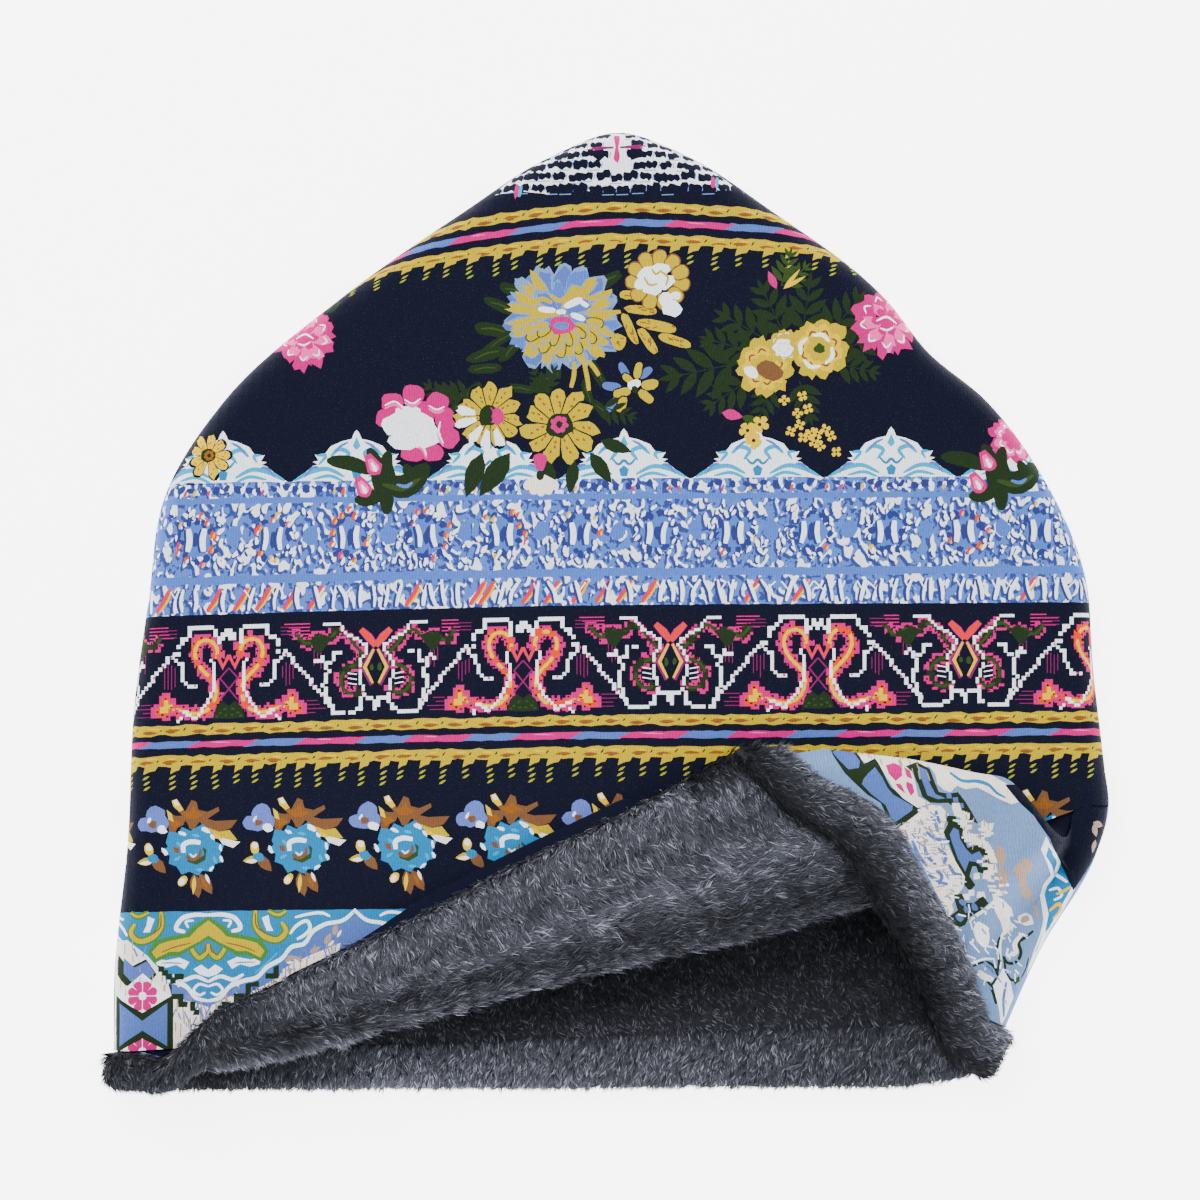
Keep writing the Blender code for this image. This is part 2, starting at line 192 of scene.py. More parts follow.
class Line:
    """A line in the plan, read by the share of its length."""

    def __init__(self, points):
        self.points = np.asarray(points, float)
        steps = np.linalg.norm(np.diff(self.points, axis=0), axis=1)
        self.length = steps.sum()
        self.shares = np.concatenate([[0], np.cumsum(steps)]) / self.length
        along = unit(np.gradient(self.points, self.shares, axis=0))
        self.lefts = np.column_stack([-along[:, 1], along[:, 0]])

    def read(self, columns, share):
        return np.column_stack([np.interp(share, self.shares, column) for column in columns.T])

    def at(self, share):
        return self.read(self.points, share)

    def left(self, share):
        return unit(self.read(self.lefts, share))

    def distance(self, places):
        start, run = self.points[:-1], np.diff(self.points, axis=0)
        best = np.full(len(places), np.inf)
        for a, step in zip(start, run):
            reach = places - a
            share = np.clip(reach @ step / (step @ step), 0, 1)
            best = np.minimum(best, np.linalg.norm(reach - share[:, None] * step, axis=1))
        return best


edge_line = Line(spline([placed(row) for row in OUTLINE]))
SIDE = Line(edge_line.points - edge_line.lefts * (SIDE_RADIUS + JERSEY_DEPTH))
UPPER_SIDE = Line(SIDE.points[: PLEAT_ROW * 12 + 1])
LOWER_SIDE = Line(SIDE.points[PLEAT_ROW * 12 :])
FOLD = Line(
    spline([UPPER_SIDE.points[0]] + [placed(row) for row in FLAP_FOLD] + [UPPER_SIDE.points[-1]])
)


def lining_wall(places):
    apart = np.linalg.norm(places[:, :2] - UPPER_SIDE.points[-1], axis=1)
    near = ease((SQUEEZE_FAR - apart) / (SQUEEZE_FAR - SQUEEZE_NEAR))
    return LINING_WALL * (1 - PLEAT_SQUEEZE * near)


def back_height(places):
    above = places[:, 1] + CROWN_HEIGHT / 2
    rise = (HEM_LIFT_START - above) / (HEM_LIFT_START - HEM_LIFT_END)
    return JERSEY_DEPTH + HEM_LIFT * ease(rise)


def above_fold(places):
    order = FOLD.points
    return places[:, 1] - np.interp(places[:, 0], order[:, 0], order[:, 1])


def front_height(places):
    shoulder = ease(SIDE.distance(places) / LOFT_SHOULDER)
    fall = 1 - ease(above_fold(places) / LOFT_REACH)
    return back_height(places) + 2 * SIDE_RADIUS + POCKET_LOFT * shoulder * fall


def flap_depth(share):
    return FLAP_DEPTH * np.interp(share, FLAP[:, 0], FLAP[:, 1])


def flap_angle(share):
    rising = ease(share / FLAP_TURNED)
    falling = ease((PLEAT_END - share) / (PLEAT_END - PLEAT_FADE))
    return math.pi * np.minimum(rising, falling)


def section(share, turned, straight, second):
    """Points across the flap at shares of its fold, as the solids have them."""
    angle = flap_angle(share)
    depth = flap_depth(share)
    first = angle * turned
    last = angle * (1 - second)
    forward = FLAP_RADIUS * np.sin(first) + depth * straight * np.cos(angle)
    upward = FLAP_RADIUS * (1 - np.cos(first)) + depth * straight * np.sin(angle)
    start = FOLD.at(share)
    crest = start - FOLD.left(share) * (depth * np.cos(angle))[:, None]
    thickest = np.maximum(lining_wall(start), lining_wall(crest))
    pleat_radius = CLEARANCE / 2 + thickest + PLUSH_BEND
    forward += pleat_radius * (np.sin(angle) - np.sin(last))
    upward += pleat_radius * (np.cos(last) - np.cos(angle))
    plan = start - FOLD.left(share) * forward[:, None]
    lying = ((1 - np.cos(angle)) / 2) ** 2
    flat = start - FOLD.left(share) * (depth * straight * np.cos(angle))[:, None]
    height = front_height(start) + upward
    height += lying * (front_height(flat) - front_height(start))
    height += lying * ease(straight) * (FLAP_CLEAR - 2 * FLAP_RADIUS)
    return np.column_stack([plan, height])


def pleat_shares(shares, step):
    left = np.clip((PLEAT_FADE - shares) / (PLEAT_FADE - PLEAT_START), 0, 1)
    return shares + PLEAT_SLANT * step * left


def corner_height(plan, top):
    """High over the flap, and falling to the side fold past the flap's own fold."""
    ground = back_height(plan) + 2 * SIDE_RADIUS
    turned = FLAP_RADIUS + 2 * lining_wall(plan)
    past = np.maximum(0, -above_fold(plan) - turned)
    inside = LOWER_SIDE.distance(plan)
    share = inside / np.maximum(inside + past, 1e-9)
    share[inside < 1e-7] = 0.0
    return ground + (top[:, 2] - ground) * ease(share)


def grid(rows):
    return np.stack(rows, axis=1)


def shares_of_fold(dense):
    """Shares of the fold, closer together where the cloth turns over or fades."""
    spans = (
        (0, FLAP_TURNED, 8),
        (FLAP_TURNED, PLEAT_START, 22),
        (PLEAT_START, PLEAT_FADE, 12),
        (PLEAT_FADE, PLEAT_END, 9),
        (PLEAT_END, 1, 2),
    )
    cuts = [np.linspace(a, b, count * dense + 1)[:-1] for a, b, count in spans]
    return np.concatenate(cuts + [[1.0]])


class Chart:
    """A patch of the cloth: flat, where its print is drawn, and lying, where the cloth is."""

    def __init__(self, flat, lying):
        index = np.arange(flat.shape[0] * flat.shape[1]).reshape(flat.shape[:2])
        a, b, c, d = index[:-1, :-1], index[1:, :-1], index[1:, 1:], index[:-1, 1:]
        halves = [np.stack(corners, -1).reshape(-1, 3) for corners in ((a, b, c), (a, c, d))]
        self.faces = np.concatenate(halves)
        self.flat, self.lying = flat.reshape(-1, 2), lying.reshape(-1, 3)
        around = [flat[:, 0], flat[-1, 1:], flat[-2::-1, -1], flat[0, -2:0:-1]]
        border = np.concatenate(around)
        steps = np.linalg.norm(border - np.roll(border, 1, axis=0), axis=1)
        self.border = border[steps > 1e-7]
        corners = self.flat[self.faces]
        one, two = corners[:, 1] - corners[:, 0], corners[:, 2] - corners[:, 0]
        area = one[:, 0] * two[:, 1] - one[:, 1] * two[:, 0]
        self.faces = self.faces[np.abs(area) > 1e-12]
        raised = np.column_stack([self.flat, np.zeros(len(self.flat))])
        self.tree = BVHTree.FromPolygons(raised.tolist(), self.faces.tolist(), epsilon=0.0)

    def lay(self, places):
        """Where places of the flat chart come to lie."""
        hits = [self.tree.find_nearest(Vector((x, y, 0.0)))[2] for x, y in places]
        corners = self.faces[hits]
        origin = self.flat[corners[:, 0]]
        one = self.flat[corners[:, 1]] - origin
        two = self.flat[corners[:, 2]] - origin
        reach = places - origin
        area = one[:, 0] * two[:, 1] - one[:, 1] * two[:, 0]
        v = (reach[:, 0] * two[:, 1] - reach[:, 1] * two[:, 0]) / area
        w = (one[:, 0] * reach[:, 1] - one[:, 1] * reach[:, 0]) / area
        v, w = np.clip(v, -0.1, 1.1)[:, None], np.clip(w, -0.1, 1.1)[:, None]
        lying = self.lying[corners]
        return lying[:, 0] * (1 - v - w) + lying[:, 1] * v + lying[:, 2] * w


SKIN = SIDE_RADIUS + JERSEY_DEPTH
TURN_STEPS = 10

# The front's unevenness, in millimetres: two sizes of ripple, and pulls that leave one place with
# a slope, a reach and a height each
LONG_RIPPLE, SHORT_RIPPLE = 0.28, 0.16
PULLS_AT = (137, -57)
PULLS = ((-0.30, 30, 0.9), (0.42, 34, 0.6))
PULL_WIDTH = 4.5
LEVEL_MARGIN = 0.012


def drape(places):
    """The front's soft unevenness: low ripples, and two pulls that start from the folded corner."""
    x, y = places[:, 0] * 1000, places[:, 1] * 1000
    ripple = LONG_RIPPLE * np.sin(x / 17 + 1.3 * np.sin(y / 31)) * np.sin(y / 23 + 0.7)
    ripple += SHORT_RIPPLE * np.sin(x / 7.3 + y / 11.0 + 2 * np.sin(x / 40))
    across, along = x - PULLS_AT[0], y - PULLS_AT[1]
    for slope, reach, size in PULLS:
        off = along + slope * across
        ripple += size * np.exp(-((off / PULL_WIDTH) ** 2)) * np.exp(-((across / reach) ** 2))
    inside = ease(SIDE.distance(places) / LEVEL_MARGIN)
    return (ripple * inside / 1000)[:, None]


def quarter(line, shares, lower):
    """The quarter turn of the side fold that belongs to a panel: chart places and cloth places."""
    foot, out = line.at(shares), line.left(shares)
    flat, lying = [], []
    for angle in np.linspace(0, math.pi / 2, TURN_STEPS + 1)[1:]:
        flat.append(foot + out * SKIN * angle)
        plan = foot + out * SKIN * math.sin(angle)
        rise = -SKIN * math.cos(angle) if lower else SKIN * math.cos(angle)
        lying.append(np.column_stack([plan, back_height(foot) + SIDE_RADIUS + rise]))
    return flat, lying


def front_chart(dense=3, rungs=60):
    shares = shares_of_fold(dense)
    start, end = FOLD.at(shares), UPPER_SIDE.at(shares)
    flat = [start + step * (end - start) for step in np.linspace(0, 1, rungs)]
    lying = []
    for rung in flat:
        height = front_height(rung)[:, None] + JERSEY_DEPTH + drape(rung)
        lying.append(np.concatenate([rung, height], axis=1))
    turn_flat, turn_lying = quarter(UPPER_SIDE, shares, False)
    return Chart(grid(flat + turn_flat), grid(lying + turn_lying))


def back_chart(count=260, rungs=30):
    shares = np.linspace(0, 1, count)
    end = SIDE.at(shares)
    start = SIDE.points[0] + shares[:, None] * (SIDE.points[-1] - SIDE.points[0])
    flat = [start + step * (end - start) for step in np.linspace(0, 1, rungs)]
    lying = [np.column_stack([rung, back_height(rung) - JERSEY_DEPTH]) for rung in flat]
    turn_flat, turn_lying = quarter(SIDE, shares, True)
    return Chart(grid(flat + turn_flat), grid(lying + turn_lying))


def corner_rows(shares, rungs):
    """The middle surface of the corner piece, from the pleat's fold to its free edge."""
    top = section(pleat_shares(shares, 1.0), 1.0, 1.0, 1.0)
    edge = Line(
        spline([top[0, :2]] + [placed(row) for row in CORNER_EDGE] + [LOWER_SIDE.points[-1]])
    )
    across = (shares - shares[0]) / (shares[-1] - shares[0])
    low = edge.at(across)
    side = LOWER_SIDE.at(np.linspace(0, 1, rungs + 1))
    chord = np.linspace(side[0], side[-1], rungs + 1)
    rows = []
    for rung in range(rungs + 1):
        step = rung / rungs
        plan = top[:, :2] + step * (low - top[:, :2])
        plan = plan + across[:, None] ** 2 * (side[rung] - chord[rung])
        rows.append(np.column_stack([plan, corner_height(plan, top)]))
    rows[0] = top
    return rows


def pleat_rows(shares, first, last, steps):
    return [
        section(pleat_shares(shares, step), 1.0, 1.0, step)
        for step in np.linspace(first, last, steps)
    ]


# The print. Its places are in units of 0.277 mm, counted right and down over the flat front.
UNIT = 0.000277
MIDDLE = (617.0, 605.0)

COLOURS = {
    "navy": (5, 8, 28),
    "mist": (104, 132, 176),
    "mustard": (180, 154, 4),
    "brown": (106, 70, 40),
    "pink": (186, 6, 108),
    "rose": (236, 84, 156),
    "blue": (72, 98, 166),
    "sky": (70, 104, 184),
    "royal": (40, 49, 112),
    "wash": (76, 110, 186),
    "turquoise": (3, 112, 164),
    "aqua": (4, 150, 196),
    "plum": (120, 16, 84),
    "green": (24, 40, 17),
    "moss": (41, 62, 22),
    "fern": (58, 112, 44),
    "pear": (150, 152, 24),
    "white": (238, 243, 248),
    "cream": (238, 228, 218),
    "beige": (158, 134, 118),
    "orange": (214, 56, 4),
    "yellow": (216, 176, 2),
    "lavender": (86, 106, 178),
    "amber": (130, 78, 24),
}


def linear(colour):
    """A colour of 0 to 255 as the shaders take it."""
    value = np.array(colour) / 255
    return tuple(np.where(value > 0.04045, ((value + 0.055) / 1.055) ** 2.4, value / 12.92))


# How the bands sag: arched in the crown above a level, and lower at the left side below it
HALF_WIDTH = 480
CROWN_LEVEL, CROWN_FADE = 330, 100
ARCH_LEFT, ARCH_RIGHT, ARCH_REACH = 18, 8, 0.327
SAG_LEVELS, SAGS, RISE_RIGHT = (435, 600, 715, 905, 1080), (3, 12, 12, 7, 5), 3


def droop(x, y):
    """How far the print's bands sag at the sides, in its own units."""
    left = np.maximum(MIDDLE[0] - x, 0) / HALF_WIDTH
    right = np.maximum(x - MIDDLE[0], 0) / HALF_WIDTH
    crown = np.clip((CROWN_LEVEL - y) / CROWN_FADE, 0, 1)
    low = np.interp(y, SAG_LEVELS, SAGS)
    arch = ARCH_LEFT * (left / ARCH_REACH) ** 1.5 + ARCH_RIGHT * (right / ARCH_REACH) ** 1.5
    return crown * arch + (1 - crown) * (low * left**1.3 - RISE_RIGHT * right)


class Print:
    """Shapes in the order they are printed, later ones over earlier ones."""

    def __init__(self, ground):
        self.ground, self.shapes = ground, []

    def add(self, colour, points):
        """Adds a shape that sags with the bands."""
        x, y = np.asarray(points, float).T
        self.level(colour, np.column_stack([x, y + droop(x, y)]))

    def level(self, colour, points):
        """Adds a shape just where it is drawn."""
        x, y = np.asarray(points, float).T
        places = np.column_stack([(x - MIDDLE[0]) * UNIT, (MIDDLE[1] - y) * UNIT])
        self.shapes.append((colour, places))


def turned(points, x, y, turn=0.0, size=1.0):
    """Local points turned by an angle in degrees, sized, and moved to a place."""
    points = np.asarray(points, float) * size
    c, s = math.cos(math.radians(turn)), math.sin(math.radians(turn))
    return np.column_stack([x + points[:, 0] * c - points[:, 1] * s,
        y + points[:, 0] * s + points[:, 1] * c])


def oval(x, y, wide, high, turn=0.0, count=14, rough=0.0):
    """An oval by its half width and half height, with an uneven edge if it is rough."""
    angle = np.linspace(0, 2 * math.pi, count, endpoint=False)
    size = 1 + rough * chance.uniform(-1, 1, count)
    points = np.column_stack([wide * np.cos(angle) * size, high * np.sin(angle) * size])
    return turned(points, x, y, turn)


def petal(x, y, inner, outer, wide, turn, rough=0.0):
    """A petal that points away from a middle: narrow at its foot, round at its tip."""
    shape = ((0, 0.22), (0.35, 0.36), (0.7, 0.5), (0.9, 0.38), (1.0, 0.12))
    shape = [(inner + along * (outer - inner), half * wide) for along, half in shape]
    shape = shape + [(along, -half) for along, half in reversed(shape)]
    shape = np.array(shape) * (1 + rough * chance.uniform(-1, 1, (len(shape), 1)))
    return turned(shape, x, y, turn)


def leaf(x, y, long, wide, turn):
    """A leaf that points away from its foot, at x and y."""
    shape = ((0, 0), (0.25, 0.42), (0.5, 0.5), (0.78, 0.3), (1, 0), (0.78, -0.3), (0.5, -0.5))
    shape = [(along * long, half * wide) for along, half in shape + ((0.25, -0.42),)]
    return turned(shape, x, y, turn)


def stroke(points, wide, taper=0.3, smooth=4):
    """A line with a width, thinner at its ends."""
    line = spline(points, smooth) if len(points) > 2 and smooth else np.asarray(points, float)
    along = unit(np.gradient(line, axis=0))
    side = np.column_stack([-along[:, 1], along[:, 0]])
    share = np.linspace(0, 1, len(line))
    half = wide / 2 * (taper + (1 - taper) * np.sqrt(np.sin(np.pi * np.clip(share, 0, 1))))
    return np.concatenate([line + side * half[:, None], (line - side * half[:, None])[::-1]])


def stripe(art, colour, top, bottom, rough, left=80, right=1150, step=7):
    """A band of one colour from side to side, with uneven edges."""
    x = np.arange(left, right, step)
    upper = top + rough * chance.uniform(-1, 1, len(x))
    lower = bottom + rough * chance.uniform(-1, 1, len(x))
    art.add(colour, np.concatenate([np.column_stack([x, upper]),
        np.column_stack([x, lower])[::-1]]))


def stepped(art, colour, points, pitch=5.0, wide=6.0):
    """A line in the stepped way of woven bands, as small squares."""
    points = np.asarray(points, float)
    cells = []
    for a, b in zip(points, points[1:]):
        count = max(1, int(np.abs(b - a).max() / pitch + 0.5))
        for share in np.linspace(0, 1, count + 1):
            cell = tuple(np.round((a + share * (b - a)) / pitch).astype(int))
            if cell not in cells:
                cells.append(cell)
    for column, row in cells:
        x, y, half = column * pitch, row * pitch, wide / 2
        art.add(colour, [(x - half, y - half), (x + half, y - half), (x + half, y + half),
            (x - half, y + half)])


def dab(art, colour, x, y, long, wide, turn, edge=None):
    """A blunt brush mark round a middle, with an edge of another colour if one is given."""
    angle = np.linspace(0, 2 * math.pi, 14, endpoint=False)
    c, s = np.cos(angle), np.sin(angle)
    shape = np.column_stack([np.sign(c) * np.abs(c) ** 0.7 * long / 2,
        np.sign(s) * np.abs(s) ** 0.9 * wide / 2])
    if edge:
        grown = shape * [(long + 2.4) / long, (wide + 2.4) / wide]
        art.level(edge, turned(grown, x, y, turn))
    art.level(colour, turned(shape * (1 + 0.07 * chance.uniform(-1, 1, (14, 1))), x, y, turn))


def worm(art, colours, points, wide, pitch=3.6):
    """A thick woven line: a ragged fringe, a core, a bright middle, and dark specks along it."""
    line = spline(points, 6)
    fringe, core, bright, speck = colours
    steps = np.concatenate([[0], np.cumsum(np.linalg.norm(np.diff(line, axis=0), axis=1))])
    even = np.arange(0, steps[-1], pitch)
    spots = np.column_stack([np.interp(even, steps, line[:, i]) for i in (0, 1)])
    along = unit(np.gradient(spots, axis=0))
    side = np.column_stack([-along[:, 1], along[:, 0]])
    for colour, size, rough in ((fringe, wide, 0.32), (core, 0.52 * wide, 0.25)):
        left = spots + side * (size / 2 * (1 + rough * chance.uniform(-1, 1, (len(spots), 1))))
        right = spots - side * (size / 2 * (1 + rough * chance.uniform(-1, 1, (len(spots), 1))))
        art.add(colour, woven(np.concatenate([left, right[::-1]])))
    for i in range(0, len(spots) - 2, 2):
        if chance.random() < 0.8:
            art.add(bright, stroke([spots[i], spots[i + 1], spots[i + 2]], 0.32 * wide, 0.7, 0))
        for reach in (-0.36, 0.34):
            place = spots[i] + side[i] * (reach + chance.uniform(-0.12, 0.12)) * wide
            art.add(speck, oval(*place, 0.12 * wide, 0.08 * wide, chance.uniform(0, 180), 5, 0.3))


def woven(points, pitch=2.8):
    """The outline taken to the nearest threads, in steps."""
    snapped = np.round(np.asarray(points) / pitch) * pitch
    outline = []
    for (x, y), (next_x, next_y) in zip(snapped, np.roll(snapped, -1, axis=0)):
        if (x, y) != (next_x, next_y):
            outline.append((x, y))
            if x != next_x and y != next_y:
                outline.append((next_x, y))
    return outline


def ring_of(art, colour, x, y, inner, outer, wide, count, turn=0.0, rough=0.06):
    """Petals of one colour round a middle, a little uneven."""
    for i in range(count):
        angle = turn + 360 * i / count + chance.uniform(-4, 4)
        art.level(colour, petal(x, y, inner, outer * chance.uniform(0.93, 1.05), wide, angle,
            rough))


def daisy(art, x, y, size, specks, colour, middle, count=9, turn=0.0):
    """A flower with one ring of speckled petals round a dark eye."""
    for i in range(count):
        angle = turn + 360 * i / count + chance.uniform(-5, 5)
        c, s = math.cos(math.radians(angle)), math.sin(math.radians(angle))
        reach = size * chance.uniform(0.88, 1.08)
        art.level("navy", petal(x, y, 0.2 * size, reach + 2.4, 0.52 * size, angle))
        art.level(colour, petal(x, y, 0.22 * size, reach, 0.42 * size, angle, 0.08))
        for share in (0.45, 0.62, 0.78):
            spot = (x + c * size * share + chance.uniform(-2, 2),
                y + s * size * share + chance.uniform(-2, 2))
            art.level(specks, oval(*spot, 0.05 * size, 0.03 * size, angle + chance.uniform(-40, 40),
                6))
    art.level("green", oval(x, y, 0.36 * size, 0.34 * size, rough=0.2))
    for i in range(7):
        angle = math.radians(360 * i / 7 + turn)
        spot = (x + 0.16 * size * math.cos(angle), y + 0.16 * size * math.sin(angle))
        art.level(middle, oval(*spot, 0.09 * size, 0.08 * size, rough=0.2, count=8))


def rose(art, x, y, size, outer, inner, line, middle, turn=0.0):
    """A full flower: three rings of ruffled petals, each a little lighter, round a small middle."""
    ring_of(art, outer, x, y, 0.3 * size, size, 0.62 * size, 9, turn, 0.1)
    ring_of(art, inner, x, y, 0.2 * size, 0.78 * size, 0.5 * size, 8, turn + 20, 0.1)
    for i in range(8):
        angle = turn + 20 + 45 * i
        arc = [(0.5 * size, -0.15 * size), (0.62 * size, 0.0), (0.5 * size, 0.15 * size)]
        art.level(line, stroke(turned(arc, x, y, angle), 0.07 * size, 0.3))
    ring_of(art, outer, x, y, 0.0, 0.46 * size, 0.36 * size, 6, turn, 0.1)
    art.level(middle, oval(x, y, 0.2 * size, 0.17 * size, rough=0.2))


def peony(art, x, y, size, outer, inner, turn=0.0):
    """A flower with a ring of petals round a pale ball."""
    ring_of(art, outer, x, y, 0.3 * size, size, 0.6 * size, 10, turn, 0.1)
    for i in range(10):
        angle = turn + 36 * i + 18
        arc = [(0.68 * size, -0.13 * size), (0.78 * size, 0.0), (0.68 * size, 0.13 * size)]
        art.level(inner, stroke(turned(arc, x, y, angle), 0.05 * size, 0.3))
    art.level(inner, oval(x - 0.1 * size, y + 0.12 * size, 0.6 * size, 0.52 * size, 0, 22, 0.1))
    for i in range(5):
        angle = turn + 72 * i
        arc = [(0.2 * size, -0.12 * size), (0.34 * size, 0.0), (0.2 * size, 0.14 * size)]
        art.level("rose", stroke(turned(arc, x - 0.1 * size, y + 0.12 * size, angle), 0.035 * size,
            0.3))


def fern(art, colour, x, y, long, turn, pairs=5, wide=0.22):
    """A stem with pairs of leaflets that get shorter towards its tip."""
    c, s = math.cos(math.radians(turn)), math.sin(math.radians(turn))
    art.level(colour, stroke([(x, y), (x + c * long, y + s * long)], 2.4, 0.5, 0))
    for i in range(pairs):
        share = (i + 0.5) / pairs
        reach = long * (0.62 - 0.34 * share)
        foot = (x + c * long * share, y + s * long * share)
        for side in (-1, 1):
            art.level(colour, leaf(*foot, reach, reach * wide, turn + side * (52 - 14 * share)))
    art.level(colour, leaf(x + 0.8 * c * long, y + 0.8 * s * long, 0.4 * long, 0.1 * long, turn))


def border_lace(art):
    """The pale net at the crown, with a small cross at its tip."""
    x = np.arange(490, 746, 6.0)
    hill = 190 - 66 * np.clip(1 - ((x - 617) / 128) ** 2, 0, 1)
    foot = [(745, 186), (720, 189), (690, 183), (672, 187), (640, 184), (625, 189), (604, 185),
        (590, 190), (562, 186), (548, 193), (520, 190), (490, 192)]
    art.level("white", np.concatenate([np.column_stack([x, hill]), foot]))
    for row in range(6):
        for column in range(-9, 10):
            x = 617 + (column + (row % 2) * 0.5) * 14.5
            y = 130 + row * 11.4
            if abs(x - 617) < 8 and row < 4 or (x - 617) ** 2 / 122**2 > (y - 124) / 62 + 0.02:
                continue
            x, y, turn = x + chance.uniform(-1.5, 1.5), y + chance.uniform(-1.5,
                1.5), chance.uniform(-14, 14)
            blob = turned([(-6.8, -1.4), (-5, -4.2), (-1, -3), (1.6, -5), (5.8, -4), (6.8, 0),
                (5, 4), (1.4, 2.4), (-1.6, 4.4), (-5.8, 3.6)], x, y, turn,
                chance.uniform(0.9, 1.25))
            art.level("navy", blob + chance.uniform(-0.8, 0.8, blob.shape))
            art.level("lavender", stroke([(x + 8, y - 3), (x + 7, y + 3)], 1.5, 0.6, 0))
            if chance.random() < 0.5:
                art.level("mist", stroke([(x - 7, y + 5.6), (x + 5, y + 5.2)], 1.5, 0.6, 0))
    for x, y in ((598, 152), (636, 152)):
        art.level("navy", oval(x, y, 8, 7, 0, 9, 0.3))
    art.level("white", oval(617, 150, 4, 22, 0, 12, 0.1))
    for turn, long in ((90, 15), (-90, 17)):
        art.level("pink", petal(617, 146, 0, long, 6.5, turn, 0.1))
    for turn, long in ((-3, 28), (178, 30)):
        art.level("plum", petal(617, 146, 3, long, 4.4, turn, 0.2))
    for x, y in ((516, 190), (714, 180)):
        art.level("aqua", oval(x + 4, y, 2.0, 7, 10, 8, 0.2))
        art.level("pink", oval(x, y, 2.8, 7, 8, 8, 0.2))


def trim(art, top, flip):
    """Two mustard braids with a pink and blue cord between them, and teeth with dashes below."""
    for upper, lower in ((top + 1, top + 11), (top + 32.5, top + 43)):
        stripe(art, "mustard", upper, lower, 1.3)
        for x in np.arange(85, 1150, 26.0):
            x += chance.uniform(-3, 3)
            art.add("amber", leaf(x, lower - 3 + chance.uniform(-1.5, 0.6), 17, 4.0,
                chance.uniform(-6, 3)))
            art.add("brown", leaf(x + 3, lower - 2.5, 9, 1.8, chance.uniform(-6, 3)))
            art.add("navy", leaf(x + 19, lower - 4, chance.uniform(3, 6), 1.5, -50))
            art.add("yellow", leaf(x + 6, upper + 3, chance.uniform(8, 16), 2.2,
                chance.uniform(-5, 5)))
    start = 300 if flip else 346
    for x in np.arange(start - 324, 1200, 108.0):
        art.add("blue", cord_piece(x + 56, 54, top + 21, 7.0))
        art.add("pink", cord_piece(x, 60, top + 21, 6.6))
        art.add("rose", leaf(x + 16, top + 19, chance.uniform(14, 26), 1.4, 2))
        art.add("sky", leaf(x + 78, top + 21, chance.uniform(10, 20), 1.6, -2))
    x = 84.0
    while x < 1150:
        wide = chance.uniform(9, 14)
        low = top + 43
        art.add("mustard", [(x, low - 3), (x + wide, low - 3), (x + wide * 0.7, low + 4),
            (x + wide * 0.3, low + 5), (x - wide * 0.2, low + 8)])
        for i in range(2 if chance.random() < 0.45 else 3):
            art.add("pear", leaf(x - 3 + chance.uniform(-1, 1), low + 13.5 + 5.4 * i, 8.5, 2.3,
                -30))
        x += wide + chance.uniform(7, 14)


def cord_piece(x, long, y, high):
    """A length of cord with slanted, uneven ends."""
    along = np.linspace(0, 1, 8)
    upper = np.column_stack([x + along * long + 6, y - high / 2 + chance.uniform(-0.7, 0.7, 8)])
    lower = np.column_stack([x + along * long - 6, y + high / 2 + chance.uniform(-0.7, 0.7, 8)])
    return np.concatenate([upper, lower[::-1]])


# The curls on one half of a scallop: their points and widths
SCALLOP_CURLS = (
    (((-62, -1), (-46, -9), (-30, -12), (-12, -4)), 4.6),
    (((-26, -24), (-18, -31), (-8, -27), (-14, -18)), 4.4), (((-44, -2), (-26, -5), (-12, 1)), 3.4),
    (((-38, -16), (-31, -25), (-40, -25)), 3.6), (((-52, -4), (-44, -13), (-38, -14)), 3.0),
    (((-8, -38), (-16, -34), (-22, -28)), 2.6),
)


def scallop(art, x):
    """A white dome with curls of aqua and blue, between the flowers and the mottled band."""
    foot = SCALLOPS_FOOT
    dome = [(-68, 2), (-56, -5), (-44, -15), (-36, -17), (-33, -25), (-26, -34), (-14, -39),
        (-5, -41), (-2.5, -47), (0, -50)]
    dome += [(-dx, dy) for dx, dy in reversed(dome[:-1])]
    art.add("white", turned(dome, x, foot))
    for side in (-1, 1):
        for curl, wide in SCALLOP_CURLS:
            art.add("aqua" if wide > 3.2 else "sky", turned(stroke(curl, wide, 0.3) * (side, 1), x,
                foot))
        art.add("white", turned([(side * 33, -24), (side * 42, -26), (side * 38, -20),
            (side * 44, -19), (side * 36, -15)], x, foot))
    art.add("aqua", turned([(-4, -34), (0, -43), (4, -34), (0, -30)], x, foot))
    art.add("turquoise", turned(stroke(((-12, -20), (-5, -14), (0, -18), (5, -14), (12, -20)), 3,
        0.4), x, foot))
    art.add("turquoise", turned([(-5, -9), (0, -13), (5, -9), (3, -2), (-3, -2)], x, foot))


def drop(art, x, y, size, colour="white"):
    """A pale mark with its darker shadow below on the left, as if pressed into the cloth."""
    turn = chance.uniform(40, 140)
    art.add("royal", oval(x - 1.6, y + 1.3, size * 1.15, size * 0.62, turn, 8, 0.3))
    art.add(colour, oval(x, y, size, size * 0.5, turn, 8, 0.3))


